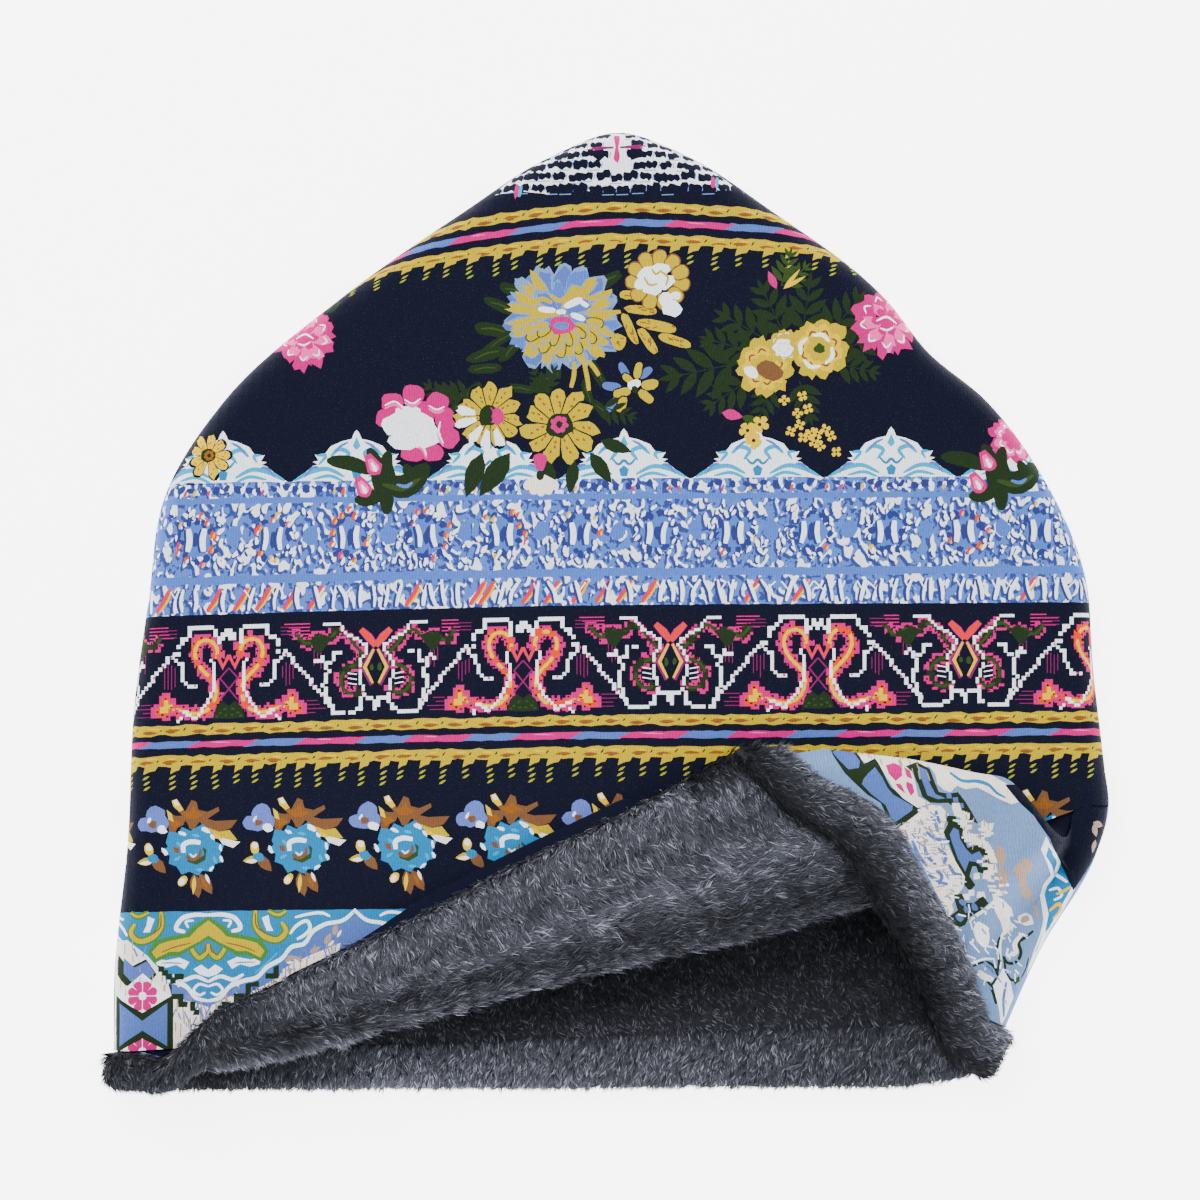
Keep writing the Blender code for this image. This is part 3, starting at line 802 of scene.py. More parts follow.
def rosettes(art):
    """Woven-looking rosettes, specks and drops on the mottled band."""
    hot = ("orange", "yellow", "pink", "orange")
    for _ in range(330):
        x, y = chance.uniform(90, 1140), chance.uniform(503, 564)
        drop(art, x, y, chance.uniform(2.4, 4.6))
    for x in np.arange(118, 1130, 77.0):
        y = 533
        warm = 0.6 if x < 560 else 0.12
        art.add("sky", oval(x, y, 17, 19, 0, 12, 0.2))
        for k in range(13):
            angle = math.radians(27.7 * k + chance.uniform(-9, 9))
            reach = chance.uniform(0.82, 1.12)
            spot = (x + 18 * reach * math.cos(angle), y + 20 * reach * math.sin(angle))
            art.add("royal", oval(*spot, chance.uniform(3, 6), chance.uniform(2.4, 4),
                chance.uniform(0, 180), 8, 0.35))
        for k in range(15):
            angle = math.radians(24 * k + chance.uniform(-9, 9))
            reach = chance.uniform(0.85, 1.3)
            spot = (x + 19 * reach * math.cos(angle), y + 21 * reach * math.sin(angle))
            if chance.random() < warm:
                colour = int(chance.integers(4))
                art.add(hot[colour], oval(*spot, 2.4, chance.uniform(3, 4.6), 20, 7, 0.35))
                art.add("yellow" if colour % 2 == 0 else "white",
                    oval(spot[0] + 1.6, spot[1] + 1, 1.3, 2.6, 20, 6, 0.3))
            else:
                drop(art, *spot, chance.uniform(2.6, 4.4))
        for side in (-1, 1):
            lean = chance.uniform(-2, 2)
            line = [(x + side * 8 + lean, y - 11), (x + side * 6.5, y),
                (x + side * 8 - lean, y + 11)]
            art.add("royal", stroke([(px - 2, py + 1) for px, py in line], 7, 0.7))
            art.add("white", stroke(line, chance.uniform(4.6, 6.2), 0.7))
        art.add("royal", oval(x, y, 3.4, 8, 6, 8, 0.3))
        art.add("sky", oval(x + 38.5, y - 3, 8, 10, 0, 7, 0.3))
    for x in np.arange(100, 1130, 11.5):
        x += chance.uniform(-3, 3)
        y = 485 + chance.uniform(-2, 2)
        art.add("royal", oval(x, y, 4.4, chance.uniform(2.6, 4.4), chance.uniform(-50, 50), 8,
            0.35))
        art.add("white", oval(x + 5, y + 1, 2.0, chance.uniform(2.4, 4.6), chance.uniform(-40, 40),
            8, 0.35))
        if chance.random() < 0.22:
            art.add(hot[int(chance.integers(3))], oval(x + 4, 488, 1.6, 3.4, 20, 7, 0.3))
    for x in np.arange(96, 1130, 12.5):
        x += chance.uniform(-3, 3)
        lean = chance.uniform(-9, 9)
        line = [(x, 602), (x + lean * 0.3 + chance.uniform(-2, 2), 592), (x + lean, 580)]
        if chance.random() < (0.42 if 420 < x < 620 or x < 260 else 0.14):
            line = [(x, 602), (x + 8, 592), (x + 14, 580)]
            art.add("pink", stroke([(px - 1.5, py) for px, py in line], 6.0, 0.5))
            art.add("orange", stroke(line, 4.6, 0.5))
            art.add("yellow", stroke([(px + 1.4, py) for px, py in line], 2.2, 0.5))
        else:
            art.add("royal", stroke([(px - 2, py + 1) for px, py in line], 5.0, 0.6))
            art.add("white", stroke(line, chance.uniform(2.8, 4.4), 0.6))
            art.add("white", stroke([(x + lean * 0.4, 591), (x - lean * 0.7, 582)], 3.0, 0.5))


# The woven band's white lines and worms, right and down from the middle of an arch or a cup
WOVEN_TOP = 612.0
ARCH = ((0, 17), (3, 9), (6, 18), (11, 19), (12, 9), (20, 6), (38, 7), (40, 14), (47, 18), (51, 30),
    (60, 37), (102, 88))
ARCH_HOOK = ((56, 34), (47, 43), (45, 58), (36, 66), (32, 63))
ARCH_INSIDE = ((17, 40), (14, 52), (14, 66), (21, 82), (33, 97), (38, 92), (46, 91), (50, 98))
SNAKE = ((12, 37), (12, 27), (19, 19), (29, 20), (34, 29), (32, 40), (26, 49), (18, 57), (13, 66),
    (14, 77), (21, 88), (33, 92), (46, 89), (58, 86))
CUP = ((0, 92), (3, 82), (13, 79), (16, 93), (42, 94), (46, 84), (52, 68), (48, 52), (55, 38),
    (60, 44))
CUP_HOOK = ((48, 46), (42, 42), (42, 36), (35, 36))
CUP_INSIDE = ((50, 5), (36, 5), (30, 15), (10, 28), (9, 34), (17, 46), (17, 56), (13, 73))
CUP_SNAKE = ((80, 15), (69, 25), (58, 18), (48, 21), (38, 13), (29, 17), (21, 28), (13, 38),
    (17, 46), (29, 51), (35, 62), (31, 73), (20, 76), (14, 68))


def kilim(art):
    """The stepped woven band: arches over bright snakes, and cups with dark ones between them."""
    for middle in np.arange(228 - WOVEN_REPEAT, 1250, WOVEN_REPEAT):
        for side in (-1, 1):
            for kind, x in ((woven_arch, middle), (woven_cup, middle + WOVEN_REPEAT / 2)):
                kind(art, lambda points: [(x + side * dx, WOVEN_TOP + dy) for dx, dy in points])


def woven_arch(art, place):
    """Half an arch: a bright snake, a blot of pink and orange, and stitches beside them."""
    worm(art, ("pink", "orange", "yellow", "navy"), place(SNAKE), 12.5)
    art.add("pink", place(woven([(40, 98), (44, 89), (50, 86), (54, 75), (60, 70), (66, 73),
        (69, 80), (75, 84), (78, 96), (66, 97), (60, 92), (54, 98), (48, 94)])))
    art.add("orange", place(woven([(46, 95), (50, 89), (56, 81), (60, 74), (66, 79), (70, 86),
        (74, 94), (66, 94), (60, 89), (54, 94)], 2.3)))
    art.add("yellow", place(woven([(54, 89), (57, 82), (61, 78), (65, 83), (69, 91), (64, 91),
        (60, 87)], 2.1)))
    for dx, dy in ((52, 91), (58, 85), (64, 76), (67, 92), (72, 89), (62, 94)):
        art.add("navy", place(oval(dx, dy, 1.5, 1.1, 0, 5, 0.3)))
    art.add("pink", stroke(place([(0, 34), (6, 46), (12, 33)]), 6.2, 0.6, 0))
    art.add("orange", stroke(place([(0, 34), (6, 45), (12, 33)]), 3.6, 0.6, 0))
    art.add("plum", stroke(place([(0, 47), (9, 57), (0, 68), (9, 79)]), 2.2, 0.7, 0))
    art.add("green", place([(0, 85), (6, 80), (13, 86), (16, 97), (0, 98)]))
    for dx, dy in ((4, 88), (9, 92), (3, 94), (12, 95)):
        art.add("moss", place(oval(dx, dy, 1.8, 1.2, 0, 6, 0.3)))
    for dx in (54, 57.5, 61, 64.5):
        art.add("plum", stroke(place([(dx, 44 + chance.uniform(-3, 3)),
            (dx, 62 + chance.uniform(-4, 6))]), 1.5, 0.6, 0))
    for dy in (82, 86, 90, 94):
        art.add("plum", stroke(place([(78, dy), (92 + chance.uniform(-5, 6), dy)]), 1.5, 0.6, 0))
    for dy in (8, 11.5, 15):
        art.add("plum", stroke(place([(52, dy), (70 + chance.uniform(-6, 6), dy)]), 1.4, 0.6, 0))
    stepped(art, "white", place(ARCH_HOOK), 3.3, 3.4)
    stepped(art, "white", place(ARCH_INSIDE), 3.0, 3.0)
    stepped(art, "white", place(ARCH), 3.7, 4.0)
    for dx, dy in ((57, 35), (66, 44), (75, 55), (84, 66), (94, 78), (34, 64)):
        art.add("pink", place(oval(dx, dy, 1.4, 1.4, 0, 5, 0.3)))


def woven_cup(art, place):
    """Half a cup: a green snake and two bright slants, with stitches above them."""
    for dy in (5, 8.5, 12, 15.5):
        art.add("pink", stroke(place([(66, dy), (86 + chance.uniform(-6, 8), dy)]), 2.0, 0.6, 0))
    for dx in (55, 58.5, 62):
        art.add("plum", stroke(place([(dx, 28), (dx, 46 + chance.uniform(-4, 6))]), 1.5, 0.6, 0))
    worm(art, ("pink", "green", "moss", "navy"), place(CUP_SNAKE), 11.0)
    art.add("green", place([(44, 20), (52, 16), (66, 22), (62, 32), (56, 36), (50, 28)]))
    for dy in (57, 62, 67):
        art.add("white", stroke(place([(19, dy), (28, dy - 1.5)]), 1.9, 0.6, 0))
    art.add("pink", stroke(place([(15, 12), (7, 20), (0, 29)]), 8.5, 0.7, 0))
    art.add("orange", stroke(place([(15, 12), (7, 20), (0, 29)]), 5.2, 0.7, 0))
    art.add("plum", stroke(place([(2, 32), (12, 50), (4, 68)]), 6.4, 0.6, 0))
    art.add("yellow", stroke(place([(2, 32), (11, 50), (3, 66)]), 3.6, 0.6, 0))
    art.add("moss", place(oval(4, 50, 2.4, 4, 0, 7, 0.3)))
    stepped(art, "white", place(CUP_HOOK), 3.3, 3.3)
    stepped(art, "white", place(CUP_INSIDE), 3.0, 2.9)
    stepped(art, "white", place(CUP), 3.5, 3.7)


def posy(art, x, y):
    """One repeat of the lower row: a turquoise flower with a small blue one, leaves and buds."""

    def put(colour, *points):
        art.level(colour, turned(points, x, y))

    def parts(*rows):
        for kind, colour, dx, dy, *shape in rows:
            art.level(colour, kind(x + dx, y + dy, *shape))

    put("brown", (-26, -39), (-18, -36), (-7, -36), (-10, -27), (-16, -24), (-22, -12), (-25, -22))
    put("amber", (-24, -30), (-16, -32), (-12, -28), (-20, -22))
    put("brown", (-6, -28), (-13, -38), (-17, -42), (-8, -41), (-2, -52), (3, -50), (5, -42),
        (14, -40), (25, -45), (26, -41), (14, -33), (22, -31), (44, -32), (38, -24), (27, -20),
        (14, -23), (6, -30), (0, -22), (-4, -23))
    put("amber", (-12, -39), (-4, -40), (0, -46), (3, -40), (10, -37), (2, -33), (-6, -33))
    put("mustard", (12, -25), (26, -20), (36, -22), (44, -12), (30, -12), (18, -18))
    put("cream", (24, -15), (32, -13), (47, -10), (40, -4), (29, -8))
    put("yellow", (14, -22), (26, -16), (30, -12), (20, -14))
    put("yellow", (-22, -51), (-17, -53), (-10, -42), (-14, -40), (-20, -45))
    put("cream", (-21, -51), (-17, -52), (-14, -47), (-18, -46))
    put("yellow", (-27, -42), (-22, -38), (-20, -30), (-25, -32))
    parts(
        (oval, "lavender", -38, -36, 10, 10, 0, 12, 0.08),
        (oval, "lavender", -49, -27, 8, 7, 0, 12, 0.08),
        (oval, "lavender", -33, -28, 8, 9, 0, 12, 0.08),
        (oval, "lavender", -42, -27, 10, 8, 0, 12, 0.08),
        (oval, "white", -32, -22, 5.5, 4, 20, 9, 0.2),
        (oval, "white", -45, -31, 3.4, 1.6, -60, 7, 0.2),
        (oval, "brown", -41, -27, 4.4, 3.6, 0, 8, 0.3),
    )
    put("turquoise", (-28, -9), (-25, -20), (-15, -19), (-12, -25), (-3, -21), (9, -28), (20, -18),
        (22, -10), (31, -7), (27, 2), (30, 10), (22, 12), (19, 20), (9, 19), (5, 24), (-4, 20),
        (-12, 23), (-17, 15), (-25, 12), (-24, 4), (-33, 0), (-26, -5))
    parts(
        (oval, "white", -29, 0, 4.4, 2, 60, 9, 0.25),
        (oval, "white", -11, -18, 4, 1.8, 20, 9, 0.25),
        (oval, "white", 12, -22, 5, 2.4, 30, 9, 0.25),
        (oval, "white", 19, -15, 3.4, 1.8, 60, 9, 0.25),
        (oval, "white", 27, -4, 3.6, 1.6, 80, 9, 0.25),
        (oval, "white", 28, 7, 3.4, 1.6, 60, 9, 0.25),
        (oval, "white", 18, 17, 4, 1.6, -40, 9, 0.25),
        (leaf, "aqua", -18, -10, 9, 3.4, 40),
        (leaf, "aqua", -20, 9, 9, 3.4, -30),
        (leaf, "aqua", 2, 18, 9, 3.4, 0),
        (leaf, "aqua", 20, 4, 9, 3.4, 70),
        (leaf, "aqua", -2, -17, 9, 3.4, 10),
    )
    put("moss", (-7, 3), (2, 9), (11, 3), (9, -5), (13, -2), (12, 8), (3, 13), (-6, 10))
    put("brown", (-21, -5), (-15, -4), (-14, 2), (-19, 1))
    for colour, line, wide, taper in (
        ("white", ((-10, 1), (-10, -7), (-3, -10), (7, -9)), 5.0, 0.8),
        ("brown", ((-8, 5), (-1, 8), (6, 4), (7, -3)), 3.4, 0.5),
        ("cream", ((-4, 2), (0, 5), (3, 2)), 1.8, 0.4),
    ):
        art.level(colour, stroke([(x + dx, y + dy) for dx, dy in line], wide, taper))
    parts(
        (leaf, "mustard", -40, 9, 17, 8, 172),
        (leaf, "cream", -42, 11, 13, 4, 176),
        (leaf, "brown", -42, 6, 21, 11, 48),
        (oval, "yellow", -45, -2, 4.6, 6.4, -10, 10, 0.1),
        (oval, "cream", -45, -4, 3.4, 3.6, -10, 8, 0.1),
        (oval, "turquoise", -41, 7, 6, 4.6, 10, 9, 0.15),
        (oval, "yellow", -11, 29, 4.2, 5.8, 35, 10, 0.1),
        (oval, "cream", -12, 30, 3, 4, 35, 8, 0.1),
        (leaf, "brown", 6, 22, 24, 12, 58),
        (leaf, "brown", 0, 22, 25, 12, 78),
        (leaf, "yellow", 1, 24, 19, 4.4, 94),
        (leaf, "cream", 12, 22, 11, 3.4, 68),
        (leaf, "amber", 8, 26, 14, 4, 62),
    )


def inside(polygon, places):
    """Which places lie in the polygon, by the number of its sides to their right."""
    x, y = places.T
    found = np.zeros(len(places), bool)
    after = np.roll(polygon, -1, axis=0)
    for (x0, y0), (x1, y1) in zip(polygon, after):
        if y0 != y1:
            crossed = (y0 > y) != (y1 > y)
            found ^= crossed & (x < x0 + (x1 - x0) * (y - y0) / (y1 - y0))
    return found


def hatch(art, colour, border, count, long, wide, slant, spread=0.0):
    """Short stitches of one colour at random places inside a border."""
    border = np.asarray(border, float)
    low, high = border.min(axis=0), border.max(axis=0)
    while count:
        place = low + chance.random(2) * (high - low)
        if inside(border, place[None])[0]:
            count -= 1
            turn = math.radians(slant + chance.uniform(-spread, spread))
            run = np.array([math.cos(turn), math.sin(turn)]) * long * chance.uniform(0.3, 0.6)
            art.level(colour, stroke([place - run, place + run], wide * chance.uniform(0.7, 1.2),
                0.8, 0))


def hem_row(art, x):
    """One repeat above the hem, in thirds of the unit: a scrolled fan and hatched, stepped net."""
    top = HEM_TOP

    def place(points, side=1):
        return [(x + side * dx / 3, top + dy / 3) for dx, dy in points]

    def both(colour, wide, *points):
        for side in (-1, 1):
            art.add(colour, place(stroke(points, wide, 0.6) if wide else points, side))

    rim = [(0, 272), (38, 262), (62, 232), (108, 212), (148, 202), (178, 172), (228, 142),
        (252, 112), (290, 102), (320, 62), (352, 44), (408, 32), (446, 0)]
    net = [(60, 262), (110, 236), (180, 205), (240, 170), (300, 140), (400, 100), (392, 140),
        (300, 188), (200, 240), (110, 292), (60, 330), (-60, 390), (-130, 390), (-150, 250),
        (-90, 262), (0, 290)]
    art.add("cream", place(net))
    hatch(art, "beige", place(net), 70, 13, 1.5, 90, 4)
    hatch(art, "lavender", place(net), 46, 13, 2.0, 90, 30)
    both("blue", 0, (96, 262), (150, 236), (216, 200), (226, 176), (180, 190), (120, 222),
        (84, 240))
    for run in (((30, 300), (52, 286), (80, 286), (80, 256), (116, 256), (116, 226), (150, 222)),
            ((176, 196), (200, 196), (200, 176))):
        stepped(art, "green", place(run), 4, 5.5)
        stepped(art, "green", place(run, -1), 4, 5.5)
    for dx, dy, turn in ((226, 152, -20), (246, 172, 70), (306, 130, -30), (352, 104, -60),
            (380, 78, -80), (250, 142, 20)):
        art.add("beige", leaf(x + dx / 3, top + dy / 3, 13, 6, turn))
        art.add("cream", leaf(x + dx / 3 + 3, top + dy / 3 + 2, 9, 3, turn + 20))
    art.add("turquoise", place(rim + [(-dx, dy) for dx, dy in reversed(rim[1:])]))
    both("white", 14, *rim)
    both("turquoise", 4.5, *[(dx + 3, dy + 8) for dx, dy in rim[2:]])
    both("white", 0, (57, 154), (87, 140), (127, 148), (162, 142), (155, 162), (127, 170),
        (97, 162), (72, 176))
    both("turquoise", 4, (80, 158), (110, 156), (140, 156))
    art.add("white", place([(-45, 176), (-21, 162), (0, 178), (21, 162), (45, 176), (26, 192),
        (0, 200), (-26, 192)]))
    both("white", 12, (0, 214), (37, 198), (77, 208), (107, 192))
    both("white", 9, (0, 228), (30, 222), (44, 242), (26, 254), (8, 246))
    both("white", 9, (64, 226), (80, 218), (92, 228))
    both("white", 14, (0, 12), (50, 12), (80, 22), (97, 54), (70, 62))
    both("white", 8, (44, 28), (68, 32), (60, 50))
    both("aqua", 5, (20, 30), (34, 44), (50, 62))
    both("aqua", 5, (140, 190), (176, 160), (210, 128))
    for wide, colour in ((28, "fern"), (15, "mustard")):
        both(colour, wide, (143, 0), (143, 46), (169, 78), (212, 88), (235, 62), (222, 36))
        both(colour, wide - 3, (0, 100), (8, 128), (26, 142), (48, 118), (54, 102))
        both(colour, wide - 7, (180, 2), (214, 14), (236, 2))
    both("fern", 0, (0, 16), (46, 44), (66, 66), (120, 76), (160, 86), (184, 124), (162, 156),
        (120, 136), (86, 136), (54, 116), (0, 86))
    both("mustard", 0, (0, 28), (34, 54), (56, 78), (112, 88), (148, 98), (170, 122), (158, 142),
        (118, 122), (88, 122), (56, 106), (28, 92), (0, 74))
    both("brown", 4, (52, 96), (108, 110), (142, 124))
    both("brown", 4.5, (143, 8), (146, 48), (172, 70))
    both("brown", 4, (7, 98), (9, 120), (24, 132))
    both("white", 0, (162, 22), (182, 14), (187, 42), (197, 62), (177, 62))
    both("white", 11, (247, 72), (267, 47), (300, 34), (308, 54), (290, 76), (268, 88))
    both("white", 9, (262, 22), (306, 12), (346, 10), (368, 20))
    column(art, x - 66, top + 44)


def column(art, x, y):
    """Pink rosettes on pale diamonds, and blue bow ties with green edges between them."""
    border = turned([(-38, -14), (-16, -16), (4, 0), (24, 22), (34, 60), (60, 90), (92, 108),
        (90, 140), (-38, 140)], x, y)
    art.add("cream", border)
    hatch(art, "beige", border, 60, 11, 1.5, 90, 4)
    hatch(art, "lavender", border, 26, 11, 2.2, 90, 30)
    zigzag = [(-20, 2), (-8, 12), (4, 6), (12, 18), (2, 30), (-12, 26), (-20, 18)]
    art.add("green", turned([(dx * 1.35 - 2, dy * 1.3 - 4) for dx, dy in zigzag], x, y))
    art.add("blue", turned(zigzag, x, y))
    for foot in (41, 97):
        diamond = turned([(-27, 0), (0, -23), (27, 0), (0, 23)], x, y + foot)
        art.add("white", diamond)
        hatch(art, "beige", diamond, 16, 8, 1.3, 90, 6)
        for k in range(8):
            art.add("pink", turned(petal(0, 0, 4, 15.5, 9, 45 * k + 22), x, y + foot))
        for k in range(4):
            art.add("white", turned(stroke([(0, 3), (0, 15)], 1.8, 0.4, 0), x, y + foot, 90 * k))
    art.add("green", turned([(-31, 40), (0, 58), (31, 40), (31, 100), (0, 84), (-31, 100)], x, y))
    art.add("blue", turned([(-25, 48), (0, 66), (25, 48), (25, 92), (0, 76), (-25, 92)], x, y))
    stepped(art, "green", [(x + dx, y + dy) for dx, dy in ((18, 14), (30, 24), (40, 22))], 4, 6)


# The leaves of a sprig: the points of each one's middle line, and its width
SPRIG_LEAVES = (
    (((-54, -18), (-30, -15), (-6, -6)), 15),
    (((-12, -30), (-4, -14), (0, 4), (6, 22), (6, 36)), 17), (((0, 4), (24, 8), (48, -14)), 24),
    (((8, -28), (6, -12), (14, 4)), 13), (((-26, 22), (-10, 20), (4, 12)), 15),
    (((24, -14), (30, 0), (22, 10)), 13),
)


def sprig(art, x, y):
    """Broad dark leaves that hang over the scallops, with two pink buds."""
    for points, wide in SPRIG_LEAVES:
        art.level("green", turned(stroke(points, wide, 0.25), x, y))
    art.level("moss", turned(stroke(((2, 6), (22, 10), (40, 0)), 6, 0.3), x, y))
    art.level("sky", turned(stroke(((16, 6), (26, 8), (32, 4)), 3.6, 0.4), x, y))
    for dx, dy in ((-8, -14), (-18, 8)):
        art.level("pink", turned(petal(dx, dy, -11, 11, 16, 62, 0.08), x, y))
        art.level("rose", turned(petal(dx, dy, -6, 8, 10, 62, 0.08), x, y))
        art.level("white", turned(petal(dx, dy, -2, 8, 4.4, 62), x, y))


def bloom(art, x, y):
    """The large flower: blue petals behind, yellow ones over them, and a ruffle below its eye."""
    for i in range(15):
        turn = 24 * i + 6
        reach = 51 + 5 * abs(math.cos(math.radians(turn))) + chance.uniform(-3, 3)
        art.level("mist", petal(x, y, 8, reach + 1.5, 22, turn, 0.1))
        art.level("blue" if i % 3 else "sky", petal(x, y, 8, reach, 19, turn, 0.1))
    for i in range(23):
        turn = 360 / 23 * i + chance.uniform(-4, 4)
        if math.sin(math.radians(turn)) < -0.85:
            continue
        reach = 44 + 9 * abs(math.cos(math.radians(turn))) + chance.uniform(-4, 4)
        art.level("mist", petal(x, y, 16, reach + 2.6, 13, turn, 0.1))
        art.level("mustard", petal(x, y, 17, reach + 1, 10.5, turn, 0.18))
    for i in range(9):
        art.level("mist", petal(x, y - 4, 2, 33, 15, 40 * i + 20, 0.1))
        art.level(("sky", "mustard", "blue")[i % 3], petal(x, y - 4, 2, 31, 12, 40 * i + 20, 0.14))
    for i, turn in enumerate(range(8, 176, 14)):
        c, s = math.cos(math.radians(turn)), math.sin(math.radians(turn))
        dab(art, "mustard", x + 33 * c, y + 2 + 30 * s, 17, 9, turn, "mist" if i % 2 else "moss")
    for i, turn in enumerate(range(20, 168, 18)):
        c, s = math.cos(math.radians(turn)), math.sin(math.radians(turn))
        dab(art, "mustard", x + 22 * c, y + 4 + 19 * s, 14, 7, turn, "moss" if i % 2 else "mist")
    for dx, dy, wide, high, turn in ((-15, -7, 18, 6, 6), (11, -14, 20, 7, -24), (16, 0, 16, 6, 20),
            (-1, -5, 10, 5, 0), (22, -13, 10, 5, 30)):
        dab(art, "white", x + dx, y + dy, wide, high, turn)
    for line in (((-12, -22), (-2, -16), (8, -24)), ((-30, -14), (-20, -18), (-10, -14)),
            ((18, -26), (24, -20), (34, -18))):
        art.level("mustard", stroke(turned(line, x, y), 4.6, 0.6))


# Leaves as dabs: the middle, the length, the width and the turn of each one
GREEN_LEAVES = (
    (514, 290, 32, 12, 20), (500, 305, 36, 11, 24), (492, 329, 38, 13, 10), (486, 354, 40, 12, -16),
    (484, 368, 34, 10, -4), (511, 349, 32, 10, -45), (500, 340, 40, 8, -30),
    (543, 381, 30, 11, -30), (556, 366, 26, 9, 80), (606, 281, 36, 13, -32), (520, 388, 30, 9, 10),
    (598, 374, 34, 10, 60), (588, 396, 34, 9, 76), (470, 392, 30, 10, -40), (458, 402, 26, 9, -60),
    (448, 392, 20, 10, 30), (540, 398, 24, 8, -60), (602, 410, 26, 9, 50),
)
MUSTARD_LEAVES = (
    (629, 294, 18, 9, 0), (641, 309, 33, 9, 6), (657, 325, 41, 11, 12), (675, 340, 36, 10, 16),
    (630, 328, 35, 9, 66), (648, 340, 31, 10, 56), (618, 341, 16, 16, 20),
)
# The small bloom's petals, with the colour of each one first
HALF_BLOOM = (
    ("blue", 624, 370, 18, 8, 62), ("blue", 612, 386, 20, 9, 10), ("blue", 612, 404, 20, 8, -50),
    ("blue", 646, 372, 16, 8, -40), ("mustard", 638, 370, 17, 8, -78),
    ("mustard", 650, 384, 18, 10, -8), ("mustard", 646, 396, 18, 9, 40),
    ("mustard", 622, 392, 18, 9, -12), ("mustard", 622, 404, 17, 9, -70),
    ("mustard", 628, 378, 13, 7, 40),
)
# The pink ball's petals, and the veins on them
BALL_PETALS = (
    (392, 402, 22, 20, 0), (413, 394, 22, 20, 0), (437, 402, 22, 20, 20), (385, 418, 20, 18, 0),
    (445, 418, 20, 22, 0), (448, 437, 22, 22, 40), (412, 452, 24, 18, 0), (432, 452, 22, 18, 0),
    (424, 410, 26, 20, 0),
)
BALL_VEINS = (
    ((384, 408), (394, 404), (402, 409)), ((404, 402), (412, 406), (420, 401)),
    ((428, 408), (437, 412), (444, 409)), ((440, 424), (438, 434), (443, 446)),
    ((418, 446), (424, 452), (426, 458)),
)
# The ferns round the roses: the foot, the turn and the length of each one
RIGHT_FERNS = (
    (772, 342, -150, 56), (786, 336, -116, 54), (803, 334, -82, 54), (826, 338, -50, 54),
    (842, 348, -16, 46), (836, 362, 14, 40), (740, 362, 168, 70), (748, 380, 146, 46),
    (772, 386, 112, 36), (800, 380, 74, 40), (756, 352, 196, 50),
)


def field_leaves(art):
    """Broad leaves on the dark field, green ones and mustard ones with fine hatching."""
    for x, y, long, wide, turn in GREEN_LEAVES:
        dab(art, "green", x, y, long, wide, turn)
        art.level("moss", stroke(turned([(-0.3 * long, 1), (0, -0.1 * wide), (0.34 * long, 0)], x,
            y, turn), 0.16 * wide, 0.5))
    for x, y, long, wide, turn in MUSTARD_LEAVES:
        dab(art, "mustard", x, y, long, wide, turn, "navy")
        hatch(art, "amber", turned([(-0.42 * long, -0.3 * wide), (0.42 * long, -0.3 * wide),
            (0.42 * long, 0.36 * wide), (-0.42 * long, 0.36 * wide)], x, y, turn), 7, 5, 1.5, turn,
            30)


def large_bloom(art):
    """The large bloom with its pink eye, and the stamens below it."""
    bloom(art, 562, 316)
    art.level("pink", oval(562, 325, 13, 9, 0, 12, 0.15))
    art.level("lavender", oval(562, 325, 8, 4, 0, 9, 0.15))
    art.level("blue", stroke([(556, 326), (561, 323), (568, 326)], 1.8, 0.5))
    for line in (((574, 361), (574, 374), (571, 387)), ((584, 362), (587, 376), (589, 390)),
            ((588, 360), (594, 367), (599, 375))):
        art.level("mustard", stroke(line, 4.6, 0.8))


def small_bloom(art):
    """A ball of mustard petals with a pale middle, and the half bloom below it."""
    for i in range(11):
        angle = math.radians(33 * i + 10)
        dab(art, "mustard", 658 + 24 * math.cos(angle), 279 + 22 * math.sin(angle), 16, 13,
            33 * i + 10, "brown")
    for dx, dy, wide, high in ((-6, -4, 11, 9), (6, -10, 10, 8), (8, 2, 12, 9), (-2, 8, 11, 7),
            (-14, 4, 6, 5), (18, 29, 10, 8), (12, 20, 8, 8), (22, 16, 5, 4)):
        art.level("white", oval(654 + dx, 279 + dy, wide, high, 0, 10, 0.2))
    for line in (((644, 276), (650, 284), (658, 283)), ((660, 270), (668, 276), (666, 285)),
            ((652, 268), (656, 273), (662, 269))):
        art.level("mustard", stroke(line, 2.4, 0.5))
    for colour, x, y, long, wide, turn in HALF_BLOOM:
        dab(art, colour, x, y, long, wide, turn, "navy")
    art.level("white", oval(634, 384, 7, 5, -30, 9, 0.2))
    art.level("green", oval(635, 389, 4, 4, 0, 8, 0.2))


def pink_ball(art):
    """A round flower of pink dabs, on ferns."""
    for x, y, turn, long in ((455, 405, 215, 34), (470, 395, 190, 32), (540, 395, -60, 30),
            (545, 395, -115, 26), (600, 405, 20, 34)):
        fern(art, "green", x, y, long, turn, 4, 0.34)
    for x, y, long, wide, turn in BALL_PETALS:
        dab(art, "pink", x, y, long, wide, turn)
    for x, y, wide, high in ((411, 427, 24, 17), (395, 424, 14, 11), (402, 441, 15, 9),
            (425, 434, 15, 14), (408, 412, 14, 7)):
        art.level("white", oval(x, y, wide, high, 0, 12, 0.12))
    for line in BALL_VEINS:
        art.level("rose", stroke(line, 2.6, 0.5))
        art.level("white", stroke([(px, py - 3) for px, py in line], 1.8, 0.5))


